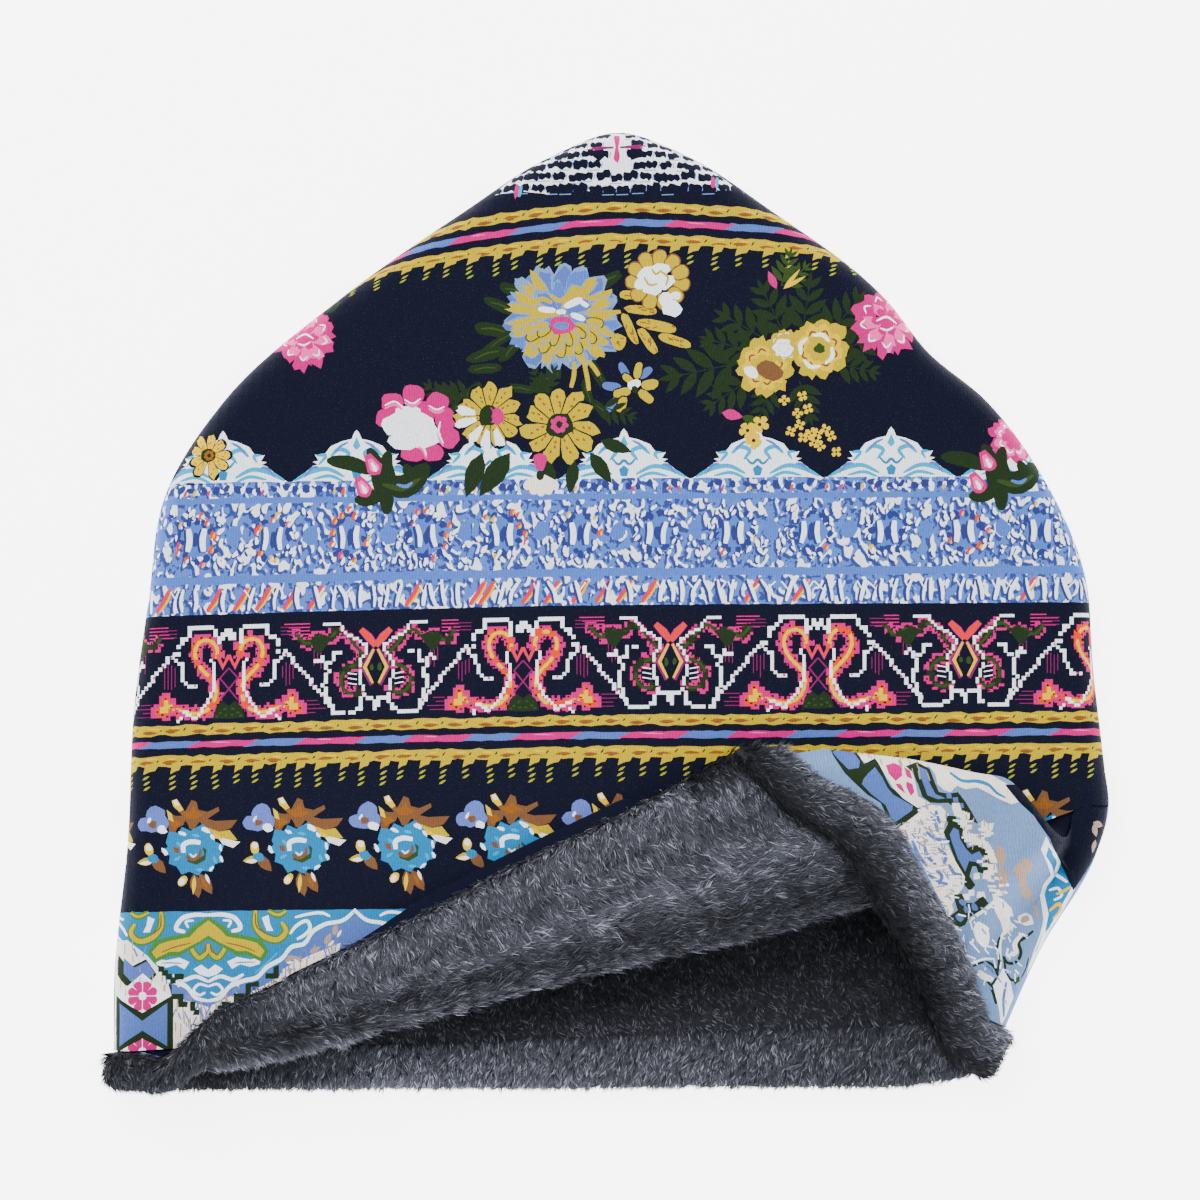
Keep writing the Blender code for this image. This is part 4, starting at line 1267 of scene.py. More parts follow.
def daisies(art):
    """Two daisies over leaves, with a bud and a sprig beside them."""
    daisy(art, 490, 415, 33, "amber", "mustard", "pink", 11, 10)
    for turn in (165, 190, 128, 100, 70):
        art.level("white", petal(490, 415, 15, 34, 10, turn, 0.1))
    art.level("green", oval(486, 415, 7, 10, 0, 10, 0.15))
    art.level("pink", oval(498, 416, 6, 9, 0, 10, 0.15))
    daisy(art, 559, 424, 38, "amber", "mustard", "pink", 11, 4)
    for x, y, turn, long in ((482, 452, 110, 48), (510, 452, 125, 54), (545, 458, 75, 34),
            (590, 452, 55, 38), (600, 440, 20, 34), (575, 460, 100, 34)):
        art.level("green", leaf(x, y, long, long * 0.4, turn))
    art.level("pink", petal(540, 470, 0, 17, 15, -90))
    for turn in (40, 65, 90, 115, 140):
        art.level("cream" if turn % 50 else "yellow", petal(541, 474, 3, 22, 10, turn))
    art.level("green", oval(540, 475, 4, 5))
    sprig(art, 380, 478)


def roses(art):
    """Three full flowers in ferns at the right, with loose buds round them."""
    for x, y, turn, long in RIGHT_FERNS:
        fern(art, "green", x, y, long, turn, 4, 0.36)
    rose(art, 765, 366, 29, "mustard", "yellow", "brown", "brown", 15)
    art.level("white", oval(752, 372, 8, 6, 30, 10, 0.2))
    art.level("brown", oval(770, 370, 14, 8, 25, 12, 0.2))
    peony(art, 786, 345, 17, "mustard", "white", 8)
    rose(art, 820, 348, 30, "mustard", "yellow", "brown", "moss", 0)
    for turn in (20, 110, 200, 290):
        art.level("white", stroke(turned([(13, -9), (17, 0), (13, 9)], 817, 350, turn), 4.2, 0.4))
    art.level("pink", leaf(722, 412, 22, 11, 12))
    art.level("moss", leaf(742, 416, 20, 9, 20))
    for _ in range(22):
        x, y = 780 + 62 * chance.random(), 390 + 62 * chance.random()
        if abs((x - 780) - (y - 390) * 0.8) < 22:
            ring_of(art, "yellow", x, y, 0.5, 5.5, 4.4, 4, chance.uniform(0, 90))
            art.level("green", oval(x, y, 1.3, 1.3, 0, 6))
    for x, y in ((748, 430), (760, 424), (754, 440)):
        ring_of(art, "yellow", x, y, 1, 9, 7, 5, 20)
        art.level("green", oval(x, y, 2, 2, 0, 6))
    fern(art, "moss", 782, 285, 34, -75, 4, 0.34)
    fern(art, "moss", 784, 285, 30, -40, 4, 0.34)
    art.level("pink", leaf(777, 288, 20, 8, -115))
    for turn in (-30, -50):
        art.level("yellow", leaf(784, 288, 26, 4, turn))


def lone_flowers(art):
    """The pink flowers towards the sides, and the small ones at the very sides."""
    for x, y, size in ((888, 320, 36), (303, 336, 32)):
        ring_of(art, "pink", x, y, 0.3 * size, size, 0.56 * size, 10, 20, 0.14)
        ring_of(art, "rose", x + 3, y + 3, 0.1 * size, 0.72 * size, 0.34 * size, 8, 5, 0.14)
        for i in range(9):
            arc = [(0.60 * size, -0.14 * size), (0.74 * size, 0.0), (0.60 * size, 0.12 * size)]
            art.level("white", stroke(turned(arc, x, y, 40 * i + 12), 0.055 * size, 0.3))
        ring_of(art, "pink", x, y, 0.0, 0.44 * size, 0.26 * size, 6, 0, 0.16)
        art.level("white", stroke(turned([(-0.3 * size, 0), (0, -0.12 * size),
            (0.3 * size, 0.06 * size)], x, y), 0.07 * size, 0.4))
        art.level("white", stroke(turned([(-0.2 * size, 0.2 * size), (0, 0.26 * size),
            (0.2 * size, 0.16 * size)], x, y), 0.06 * size, 0.4))
    fern(art, "green", 340, 300, 26, 180, 4, 0.34)
    rose(art, 1016, 437, 26, "pink", "rose", "white", "pink", 0)
    sprig(art, 996, 474)
    daisy(art, 208, 455, 22, "amber", "yellow", "amber", 9, 0)


def bouquets(art):
    """Loose bunches on the dark field, in the order they are printed."""
    for bunch in (field_leaves, large_bloom, small_bloom, pink_ball, daisies, roses, lone_flowers):
        bunch(art)


# The levels of the print's bands, counted down the front, and the lengths of their repeats
UPPER_TRIM, LOWER_TRIM = 200.0, 714.0
SCALLOPS_FOOT, SCALLOP_REPEAT = 478.0, 134.0
MOTTLED_END, WOVEN_END = 605.0, 712.0
POSIES, POSY_REPEAT = 845.0, 106.6
HEM_TOP, HEM_END = 906.0, 1120.0
WOVEN_REPEAT = 295.0


def front_print():
    """The whole print of the front, from the crown down to the hem; the back wears it too."""
    art = Print("navy")
    border_lace(art)
    trim(art, UPPER_TRIM, False)
    for x in np.arange(88, 1200, SCALLOP_REPEAT):
        scallop(art, x)
    stripe(art, "mottled", SCALLOPS_FOOT, MOTTLED_END, 0.6)
    rosettes(art)
    stripe(art, "sky", 493, 499, 0.8)
    stripe(art, "sky", 568, 576, 0.8)
    stripe(art, "navy", MOTTLED_END, WOVEN_END, 0.4)
    kilim(art)
    trim(art, LOWER_TRIM, True)
    for x in np.arange(86, 1130, POSY_REPEAT):
        posy(art, x, POSIES + float(droop(x, POSIES)))
    stripe(art, "blue", HEM_TOP, HEM_END, 0.3)
    for x in np.arange(207.5 - WOVEN_REPEAT, 1250, WOVEN_REPEAT):
        hem_row(art, x)
    bouquets(art)
    return art


# The cloth itself: the same middle surface as the solids have, in smaller facets
ROLL_SHOULDER = 0.0020
SHELL_PEEK = 0.0010
EDGE_EVENING = 0.010
EASING_STEPS = 60
CORNER_RUNGS = 24
FLAP_STEPS = 14
FINE_BACK, FINE_ROWS, WIDE_ROWS = 0.16, 10, 16
FRONT_ROWS = 28
WELD = 2e-6
# The hem roll's section: how far past the seam it starts, how round its edge is at most, as a
# share of its width, and where its flat parts have points
ROLL_START = 1.5 * CLEARANCE
ROLL_ROUND = 0.45
ROLL_TURN = 9
OUTER_STEP, INNER_STEPS = 0.66, (0.66, 0.33, 0.0)


class Roll(NamedTuple):
    """Shares of the free edge, how far the hem is turned out there, and how wide it is."""

    place: float
    turned: float
    wide: float


HEM_ROLL = (
    Roll(0.00, 1.0, 1.0),
    Roll(0.04, 1.0, 1.36),
    Roll(0.08, 1.0, 1.24),
    Roll(0.15, 1.0, 0.94),
    Roll(0.20, 1.0, 0.80),
    Roll(0.34, 1.0, 0.30),
    Roll(0.42, 1.0, 0.0),
    Roll(0.47, 1.0, 0.0),
    Roll(0.53, 0.0, 0.0),
    Roll(0.71, 0.0, 0.0),
    Roll(0.77, 1.0, 0.2),
    Roll(0.86, 1.0, 1.0),
    Roll(1.00, 1.0, 1.0),
)


def patches():
    """The panels and turns of the middle surface, as grids of points that meet at their sides."""
    shares = shares_of_fold(3)
    pleated = shares[shares >= PLEAT_START - 1e-9]
    low = np.linspace(0, 1, CORNER_RUNGS + 1)
    places = np.concatenate([UPPER_SIDE.at(shares), LOWER_SIDE.at(low)[1:]])
    outward = np.concatenate([UPPER_SIDE.left(shares), LOWER_SIDE.left(low)[1:]])
    run = np.concatenate([[0], np.cumsum(np.linalg.norm(np.diff(places, axis=0), axis=1))])
    ends = SIDE.points[0], SIDE.points[-1]
    hem = ends[0] + (run / run[-1])[:, None] * (ends[1] - ends[0])
    steps = [np.linspace(0, FINE_BACK, FINE_ROWS)[:-1], np.linspace(FINE_BACK, 1, WIDE_ROWS)]
    steps = np.concatenate(steps)
    back = [hem + step * (places - hem) for step in steps]
    turn = []
    for angle in np.linspace(0, math.pi, TURN_STEPS + 1):
        plan = places + outward * SIDE_RADIUS * math.sin(angle)
        height = back_height(places) + SIDE_RADIUS * (1 - math.cos(angle))
        turn.append(np.column_stack([plan, height]))
    start, end = FOLD.at(shares), UPPER_SIDE.at(shares)
    front = [start + step * (end - start) for step in np.linspace(0, 1, FRONT_ROWS)]
    return [
        grid([np.column_stack([rung, back_height(rung)]) for rung in back]),
        grid(turn),
        grid([np.column_stack([rung, front_height(rung)]) for rung in front]),
        grid([section(shares, step, 0.0, 0.0) for step in np.linspace(0, 1, TURN_STEPS)]),
        grid([section(shares, 1.0, step, 0.0) for step in np.linspace(0, 1, FLAP_STEPS)]),
        grid(pleat_rows(pleated, 0.0, 1.0, TURN_STEPS + 1)),
        grid(corner_rows(pleated, CORNER_RUNGS)),
    ]


def sheet():
    """The middle surface as one mesh of triangles, with its printed side's normals outwards."""
    mesh = bmesh.new()
    for number, patch in enumerate(patches()):
        points = [[mesh.verts.new(point) for point in row] for row in patch]
        for near, far in zip(points, points[1:]):
            for a, b, c, d in zip(near, near[1:], far[1:], far):
                mesh.faces.new((a, b, c, d)).material_index = number
    bmesh.ops.remove_doubles(mesh, verts=mesh.verts, dist=WELD)
    bmesh.ops.recalc_face_normals(mesh, faces=mesh.faces)
    bmesh.ops.triangulate(mesh, faces=mesh.faces, quad_method="SHORT_EDGE")
    lowest = min(mesh.faces, key=lambda face: face.calc_center_median().z)
    if lowest.normal.z > 0:
        bmesh.ops.reverse_faces(mesh, faces=mesh.faces)
    mesh.normal_update()
    return mesh


class Cloth:
    """The middle surface's points, normals and triangles, and its free edge in order."""

    def __init__(self):
        mesh = sheet()
        mesh.verts.index_update()
        mesh.verts.ensure_lookup_table()
        self.points = np.array([vert.co for vert in mesh.verts])
        self.normals = np.array([vert.normal for vert in mesh.verts])
        self.faces = [tuple(vert.index for vert in face.verts) for face in mesh.faces]
        self.patch = [face.material_index for face in mesh.faces]
        self.plush = self.eased(mesh)
        self.edge = self.walk(mesh)
        mesh.free()
        rim = self.points[self.edge]
        along = np.roll(rim, -1, axis=0) - np.roll(rim, 1, axis=0)
        out = unit(np.cross(along, self.normals[self.edge]))
        steps = np.linalg.norm(np.roll(rim, -1, axis=0) - rim, axis=1)
        self.length = steps.sum()
        run = np.concatenate([[0], np.cumsum(steps)[:-1]])
        self.shares = run / self.length
        apart = np.abs(run[:, None] - run)
        apart = np.minimum(apart, self.length - apart)
        weights = np.exp(-((apart / EDGE_EVENING) ** 2)) * (steps + np.roll(steps, 1))
        self.out = unit(weights @ out)

    def skin(self, places, depth):
        """Places of the middle surface moved to one side of it, along its evened normals."""
        tree = KDTree(len(self.points))
        for i, point in enumerate(self.points):
            tree.insert(point, i)
        tree.balance()
        moved = np.empty_like(places)
        for i, place in enumerate(places):
            near = tree.find_n(place, 4)
            pull = np.array([1 / (apart + 1e-5) for _, _, apart in near])
            normal = pull @ self.normals[[index for _, index, _ in near]]
            moved[i] = place + depth * normal / np.linalg.norm(normal)
        return moved

    def eased(self, mesh):
        """The way the plush stands: the normals, evened and shortened where it is squeezed."""
        pairs = np.array([[vert.index for vert in edge.verts] for edge in mesh.edges])
        share = 1 - lining_wall(self.points) / LINING_WALL
        share = (share / PLEAT_SQUEEZE)[:, None]
        number = np.bincount(pairs.ravel(), minlength=len(self.points))[:, None]
        stand = self.normals
        for _ in range(EASING_STEPS):
            total = np.zeros_like(stand)
            np.add.at(total, pairs[:, 0], stand[pairs[:, 1]])
            np.add.at(total, pairs[:, 1], stand[pairs[:, 0]])
            stand = stand + share * (total / number - stand) / 2
        return stand

    @staticmethod
    def walk(mesh):
        """The free edge from the back hem's right end, in the order of its own faces."""
        after = {}
        for edge in mesh.edges:
            if edge.is_boundary:
                loop = edge.link_loops[0]
                after[loop.vert.index] = loop.link_loop_next.vert.index
        corner = SIDE.points[-1]
        ground = Vector((*corner, back_height(corner[None])[0]))
        start = min(after, key=lambda i: (mesh.verts[i].co - ground).length)
        order = [start]
        while after[order[-1]] != start:
            order.append(after[order[-1]])
        return order


def add_mesh(name, points, faces, materials, node):
    """A smooth mesh that stands for a node of the frame and hides that node's solid."""
    mesh = bpy.data.meshes.new(name)
    mesh.from_pydata(np.asarray(points, float).tolist(), [], [tuple(face) for face in faces])
    mesh.shade_smooth()
    for material in materials:
        mesh.materials.append(material)
    thing = bpy.data.objects.new(name, mesh)
    bpy.context.scene.collection.objects.link(thing)
    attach(thing, "root")
    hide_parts(node)
    return thing


def wall(name, cloth, over, under, reach, materials, trimmed, node):
    """A wall between two surfaces beside the middle one, with a rim carried out by reach.

    Where the rim is trimmed, it wears the second material.
    """
    rim = cloth.edge
    count, stations = len(cloth.points), len(rim)
    points = [cloth.points + over, cloth.points[rim] + cloth.out * reach[:, None] + over[rim]]
    points += [cloth.points + under, cloth.points[rim] + cloth.out * reach[:, None] + under[rim]]
    half = count + stations
    sides = list(cloth.faces)
    for i in range(stations):
        a, b, c, d = rim[i], rim[(i + 1) % stations], count + (i + 1) % stations, count + i
        sides += [(b, a, d), (b, d, c)]
    faces = sides + [tuple(i + half for i in reversed(face)) for face in sides]
    for i in range(stations):
        a, b = count + i, count + (i + 1) % stations
        faces += [(b, a, a + half), (b, a + half, b + half)]
    thing = add_mesh(name, np.concatenate(points), faces, materials, node)
    first = len(cloth.faces)
    rims = np.zeros(len(faces), np.int32)
    rims[first : first + 2 * stations] = np.repeat(trimmed, 2)
    rims[-2 * stations :] = np.repeat(trimmed, 2)
    thing.data.polygons.foreach_set("material_index", rims)


def roll_widths(cloth):
    """How far the hem is turned out along the free edge, and the roll's width there."""
    rows = np.array(HEM_ROLL)
    turned = np.interp(cloth.shares, rows[:, 0], rows[:, 1])
    wide = np.interp(cloth.shares, rows[:, 0], rows[:, 2])
    return turned, ROLL_WIDTH + wide * (WIDE_ROLL_WIDTH - ROLL_WIDTH)


def roll_ring(cloth):
    """The hem roll's closed sections, one at each station of the free edge."""
    turned, width = roll_widths(cloth)
    turned = ease(2 * turned - 1)
    outer = -CLEARANCE / 2 + turned * (ROLL_OUTSIDE + CLEARANCE / 2)
    seam = -CLEARANCE / 2 + turned * (JERSEY_DEPTH + CLEARANCE / 2)
    inner = np.full_like(outer, -PLUSH_DEPTH)
    middle, half = (outer + inner) / 2, (outer - inner) / 2
    start = np.full_like(outer, ROLL_START)
    bend = np.minimum(half, ROLL_ROUND * width)
    rows = [(start, seam), (start + ROLL_SHOULDER * 0.5, (seam + 2 * outer) / 3),
        (start + ROLL_SHOULDER, outer)]
    rows += [(start + (width - bend - start) * OUTER_STEP, outer)]
    for angle in np.linspace(90, -90, ROLL_TURN):
        c, s = math.cos(math.radians(angle)), math.sin(math.radians(angle))
        rows.append((width - bend * (1 - c), middle + half * s))
    rows += [(start + (width - bend - start) * step, inner) for step in INNER_STEPS]
    rim, normals = cloth.points[cloth.edge], cloth.normals[cloth.edge]
    ring = [rim + a[:, None] * cloth.out + b[:, None] * normals for a, b in rows]
    return np.stack(ring, axis=1)


def around(ring):
    """The numbers of the roll's points and of their neighbours: beside, ahead and beside, ahead."""
    stations, sides = ring.shape[:2]
    index = np.arange(stations * sides).reshape(stations, sides)
    ahead, beside = np.roll(index, -1, axis=0), np.roll(index, -1, axis=1)
    return index, beside, np.roll(ahead, -1, axis=1), ahead


SPECULAR = 0.12
JERSEY_ROUGHNESS = 0.86


def new_material(name, roughness):
    """A cloth finish, with its node tree and its shader."""
    material = bpy.data.materials.new(name)
    material.use_nodes = True
    shader = material.node_tree.nodes["Principled BSDF"]
    shader.inputs["Roughness"].default_value = roughness
    shader.inputs["Metallic"].default_value = 0.0
    shader.inputs["Specular IOR Level"].default_value = SPECULAR
    return material, material.node_tree, shader


def plain(name, colour, roughness=0.9):
    material, _, shader = new_material(name, roughness)
    shader.inputs["Base Color"].default_value = (*linear(colour), 1.0)
    return material


# The picture's stage
FLOOR_SIZE = 4.0
FLOOR_GLOW = 5.0
VIEW_WIDTH = 0.3324
VIEW_MIDDLE = (-0.0047, 0.0014)
VIEW_HEIGHT = 3.0
VIEW_LEVEL = 0.02
FLOOR_TONE = (250, 250, 251)
FLOOR_DROP = 0.0002
SKY_TONE = (0.96, 0.98, 1.0, 1.0)
SKY_STRENGTH = 1.2


class Lamp(NamedTuple):
    """A round lamp: its place and diameter in metres, and its power in watts."""

    name: str
    place: tuple
    size: float
    power: float


LAMPS = (
    Lamp("key_light", (-0.55, 0.75, 1.25), 0.9, 26.0),
    Lamp("fill_light", (0.9, -0.5, 1.2), 1.2, 8.0),
)


def stage():
    """The white floor and light of the photograph, and the camera straight above."""
    floor = bpy.data.meshes.new("floor")
    half = FLOOR_SIZE / 2
    corners = [(-half, -half, 0), (half, -half, 0), (half, half, 0), (-half, half, 0)]
    floor.from_pydata(corners, [], [(0, 1, 2, 3)])
    pale = plain("pale_floor", FLOOR_TONE, 0.95)
    shader = pale.node_tree.nodes["Principled BSDF"]
    shader.inputs["Emission Color"].default_value = (1.0, 1.0, 1.0, 1.0)
    shader.inputs["Emission Strength"].default_value = FLOOR_GLOW
    floor.materials.append(pale)
    thing = bpy.data.objects.new("floor", floor)
    thing.location.z = -FLOOR_DROP
    bpy.context.scene.collection.objects.link(thing)
    world = bpy.data.worlds.new("studio")
    world.use_nodes = True
    world.node_tree.nodes["Background"].inputs["Color"].default_value = SKY_TONE
    world.node_tree.nodes["Background"].inputs["Strength"].default_value = SKY_STRENGTH
    bpy.context.scene.world = world
    for name, place, size, power in LAMPS:
        lamp = bpy.data.lights.new(name, "AREA")
        lamp.shape, lamp.size, lamp.energy = "DISK", size, power
        light = bpy.data.objects.new(name, lamp)
        light.location = place
        light.rotation_mode = "QUATERNION"
        light.rotation_quaternion = (-Vector(place)).to_track_quat("-Z", "Y")
        bpy.context.scene.collection.objects.link(light)
    camera = bpy.data.cameras.new("camera")
    camera.sensor_width = 36.0
    camera.lens = camera.sensor_width * (VIEW_HEIGHT - VIEW_LEVEL) / VIEW_WIDTH
    camera.clip_end = 20.0
    eye = bpy.data.objects.new("camera", camera)
    eye.location = (*VIEW_MIDDLE, VIEW_HEIGHT)
    bpy.context.scene.collection.objects.link(eye)
    bpy.context.scene.camera = eye


# The knitted cloth's finish. Lengths in the shaders are millimetres on the chart.
WALE = 0.72
COURSE = 0.55
WAVER_SCALE, WAVER = 0.12, 3.0
STITCH_SLANT = 1.3
WALE_SHARE, STITCH_SHARE = 0.6, 0.4
KNIT_SHADE = 0.16
HEATHER_SPREAD, HEATHER_LOW = 0.8, 0.6
FLECK_LEVEL, FLECK_WIDTH, FLECK_SHARE = 0.80, 0.14, 0.30
FLECK_TONE = (0.07, 0.08, 0.16, 1.0)
KNIT_BUMP, KNIT_DEPTH = 0.35, 0.00012
JERSEY_SHEEN, SHEEN_ROUGHNESS = 0.02, 0.5


class Nodes:
    """Short names for the shader nodes that the finishes are made of."""

    def __init__(self, tree):
        self.tree = tree

    def add(self, kind, **settings):
        node = self.tree.nodes.new("ShaderNode" + kind)
        for name, value in settings.items():
            setattr(node, name, value)
        return node

    def feed(self, socket, value):
        """Links another node's output to the socket, or sets its constant."""
        if isinstance(value, bpy.types.NodeSocket):
            self.tree.links.new(value, socket)
        else:
            socket.default_value = value

    def math(self, operation, a, b=0.0, c=0.0):
        node = self.add("Math", operation=operation)
        for socket, value in zip(node.inputs, (a, b, c)):
            self.feed(socket, value)
        return node.outputs[0]

    def noise(self, place, scale, detail=2.0, rough=0.5, twist=0.0):
        node = self.add("TexNoise")
        for name, value in (("Vector", place), ("Scale", scale), ("Detail", detail),
                ("Roughness", rough), ("Distortion", twist)):
            self.feed(node.inputs[name], value)
        return node.outputs["Fac"]

    def mix(self, share, a, b, blend="MIX"):
        node = self.add("MixRGB", blend_type=blend)
        for name, value in (("Fac", share), ("Color1", a), ("Color2", b)):
            self.feed(node.inputs[name], value)
        return node.outputs["Color"]

    def shift(self, place, offset, scale=(1.0, 1.0, 1.0)):
        node = self.add("Mapping")
        self.feed(node.inputs["Vector"], place)
        node.inputs["Location"].default_value = offset
        node.inputs["Scale"].default_value = scale
        return node.outputs["Vector"]

    def near(self, value, level, width):
        """1 where the value is close to a level, 0 away from it, with a short slope between."""
        apart = self.math("ABSOLUTE", self.math("SUBTRACT", value, level))
        node = self.add("MapRange", interpolation_type="SMOOTHSTEP")
        for name, number in (("From Min", width * 0.75), ("From Max", width * 1.25),
                ("To Min", 1.0), ("To Max", 0.0)):
            node.inputs[name].default_value = number
        self.feed(node.inputs["Value"], apart)
        return node.outputs["Result"]

    def above(self, value, level, slope):
        """0 where the value is below a level, 1 above it."""
        node = self.add("MapRange", interpolation_type="SMOOTHSTEP")
        node.inputs["From Min"].default_value = level - slope
        node.inputs["From Max"].default_value = level + slope
        self.feed(node.inputs["Value"], value)
        return node.outputs["Result"]


def tone(name, share=1.0):
    """A colour of the print as the shaders take it, darker or lighter by a share."""
    return (*(share * channel for channel in linear(COLOURS[name])), 1.0)


def ink(name, mottled=False):
    """Printed jersey: the drawn colours, the knit's rows as a bump and as painted shade, and a
    little heather.
    """
    material, tree, shader = new_material(name, JERSEY_ROUGHNESS)
    nodes = Nodes(tree)
    chart = nodes.add("UVMap", uv_map="OFBake").outputs["UV"]
    place = nodes.shift(chart, (0.0, 0.0, 0.0), (CHART_SIDE * 1000, CHART_SIDE * 1000, 1.0))
    colour = nodes.add("VertexColor", layer_name="print").outputs["Color"]
    if mottled:
        colour = mottle(nodes, place, colour)
    apart = nodes.add("SeparateXYZ")
    nodes.feed(apart.inputs[0], place)
    across, up = apart.outputs["X"], apart.outputs["Y"]
    waver = nodes.math("MULTIPLY", nodes.noise(place, WAVER_SCALE, 1.0), WAVER)
    wale = nodes.math("MULTIPLY", nodes.math("ADD", across, waver), 2 * math.pi / WALE)
    wale = nodes.math("SINE", wale)
    course = nodes.math("MULTIPLY", up, 2 * math.pi / COURSE)
    stitch = nodes.math("ADD", course, nodes.math("MULTIPLY", wale, STITCH_SLANT))
    stitch = nodes.math("MULTIPLY", nodes.math("SINE", stitch), STITCH_SHARE)
    knit = nodes.math("MULTIPLY_ADD", wale, WALE_SHARE, stitch)
    heather = nodes.noise(nodes.shift(place, (7.0, 3.0, 0.0), (1.6, 0.7, 1.0)), 1.3, 3.0, 0.7)
    # Painted shade: the colour is darker where the knit is low, as in the bump
    shade = nodes.math("MULTIPLY_ADD", knit, KNIT_SHADE, 1.0)
    heather = nodes.math("MULTIPLY_ADD", heather, HEATHER_SPREAD, HEATHER_LOW)
    shade = nodes.math("MULTIPLY", shade, heather)
    grey = nodes.add("CombineColor")
    for socket in grey.inputs:
        nodes.feed(socket, shade)
    colour = nodes.mix(1.0, colour, grey.outputs[0], "MULTIPLY")
    fleck = nodes.noise(nodes.shift(place, (1.0, 9.0, 0.0), (1.2, 1.0, 1.0)), 2.4, 2.0, 0.6)
    fleck = nodes.math("MULTIPLY", nodes.near(fleck, FLECK_LEVEL, FLECK_WIDTH), FLECK_SHARE)
    colour = nodes.mix(fleck, colour, FLECK_TONE)
    tree.links.new(colour, shader.inputs["Base Color"])
    bump = nodes.add("Bump")
    bump.inputs["Strength"].default_value = KNIT_BUMP
    bump.inputs["Distance"].default_value = KNIT_DEPTH
    nodes.feed(bump.inputs["Height"], knit)
    tree.links.new(bump.outputs["Normal"], shader.inputs["Normal"])
    shader.inputs["Sheen Weight"].default_value = JERSEY_SHEEN
    shader.inputs["Sheen Roughness"].default_value = SHEEN_ROUGHNESS
    return material


def mottle(nodes, place, ground):
    """Pale marks with a darker blue shadow on one side, as if pressed into the cloth."""
    upright = nodes.shift(place, (3.0, 5.0, 0.0), (0.50, 0.33, 1.0))
    marks = nodes.noise(upright, 1.0, 0.4, 0.5, 0.7)
    behind = nodes.noise(nodes.shift(upright, (0.30, 0.26, 0.0)), 1.0, 0.4, 0.5, 0.7)
    fine = nodes.noise(place, 0.70, 0.5, 0.5, 0.6)
    dark = nodes.math("MAXIMUM", nodes.above(behind, 0.53, 0.02), nodes.above(fine, 0.62, 0.03))
    colour = nodes.mix(nodes.math("MULTIPLY", dark, 0.92), ground, tone("royal", 1.15))
    return nodes.mix(nodes.math("MULTIPLY", nodes.above(marks, 0.578, 0.02), 0.95), colour,
        tone("white", 0.95))


# The folded corner's print, in fifths of the print's unit from this place
CORNER_AT = (815.0, 735.0)


# The blue scrolls on the corner's net
NET_SCROLLS = (
    ((590, 372), (596, 400), (612, 436)), ((566, 400), (590, 440), (600, 480)),
    ((540, 476), (590, 512), (650, 520)), ((470, 520), (500, 590), (545, 650)),
    ((530, 545), (548, 600), (590, 640)), ((600, 560), (640, 600), (632, 640)),
    ((550, 690), (600, 722), (650, 742)), ((655, 640), (690, 690), (724, 694)),
    ((590, 668), (620, 700), (604, 742)),
)


def corner_blocks(put, line):
    """The blocks of the woven band, and the pale strip along the corner's upper side."""
    put("cream", (0, 30), (180, 80), (330, 90), (480, 130), (620, 160), (760, 195), (880, 220),
        (960, 255), (1030, 330), (990, 345), (920, 320), (860, 290), (800, 262), (740, 268),
        (690, 250), (650, 268), (600, 235), (585, 200), (560, 170), (450, 165), (330, 128),
        (280, 150), (240, 145), (180, 110), (60, 60), (0, 60))
    line("turquoise", 14, (660, 198), (720, 232), (800, 238), (860, 255), (900, 288), (960, 312))
    put("green", (60, 55), (110, 55), (150, 85), (200, 100), (235, 150), (290, 130), (318, 160),
        (345, 215), (370, 258), (508, 348), (500, 384), (400, 460), (362, 435), (318, 335),
        (250, 292), (190, 235), (140, 185), (80, 110))
    put("blue", (78, 100), (130, 78), (180, 95), (215, 140), (210, 165), (160, 170), (110, 130))
    put("blue", (233, 215), (255, 190), (290, 165), (325, 205), (352, 260), (380, 292), (475, 348),
        (472, 370), (390, 430), (372, 420), (342, 345), (272, 290), (225, 240))
    put("cream", (300, 140), (345, 118), (440, 150), (478, 200), (492, 250), (500, 300), (560, 335),
        (500, 358), (430, 312), (382, 262), (350, 212))
    put("pink", (343, 158), (383, 150), (420, 165), (424, 203), (392, 226), (357, 192))
    put("pink", (436, 168), (462, 184), (474, 218), (446, 208))
    put("pink", (390, 240), (414, 238), (424, 252), (440, 288), (404, 260))
    put("pink", (444, 228), (474, 240), (484, 280), (466, 300), (444, 256))
    put("green", (440, 165), (500, 150), (560, 180), (582, 230), (605, 280), (650, 288), (702, 282),
        (740, 330), (772, 382), (806, 440), (760, 422), (722, 384), (690, 360), (650, 334),
        (602, 336), (560, 332), (522, 304), (502, 244), (476, 192))
    put("blue", (502, 166), (545, 184), (560, 240), (588, 290), (640, 312), (600, 316), (548, 296),
        (526, 236), (506, 198))
    for x, y in ((655, 300), (688, 318), (716, 348)):
        put("blue", (x - 14, y - 10), (x + 12, y - 12), (x + 16, y + 12), (x - 10, y + 12))
    put("cream", (590, 198), (634, 196), (650, 238), (700, 246), (664, 282), (630, 270), (596, 240))
    steps = ((690, 350), (702, 385), (742, 400), (722, 450), (742, 492), (792, 520), (842, 545),
        (882, 590), (902, 640))
    for a, b in zip(steps, steps[1:]):
        for share in (0.0, 0.34, 0.67):
            x, y = a[0] + share * (b[0] - a[0]), a[1] + share * (b[1] - a[1])
            put("cream", (x - 19, y - 15), (x + 19, y - 15), (x + 19, y + 15), (x - 19, y + 15))
    put("cream", (806, 440), (836, 420), (850, 440), (886, 436), (880, 470), (858, 490), (830, 470))


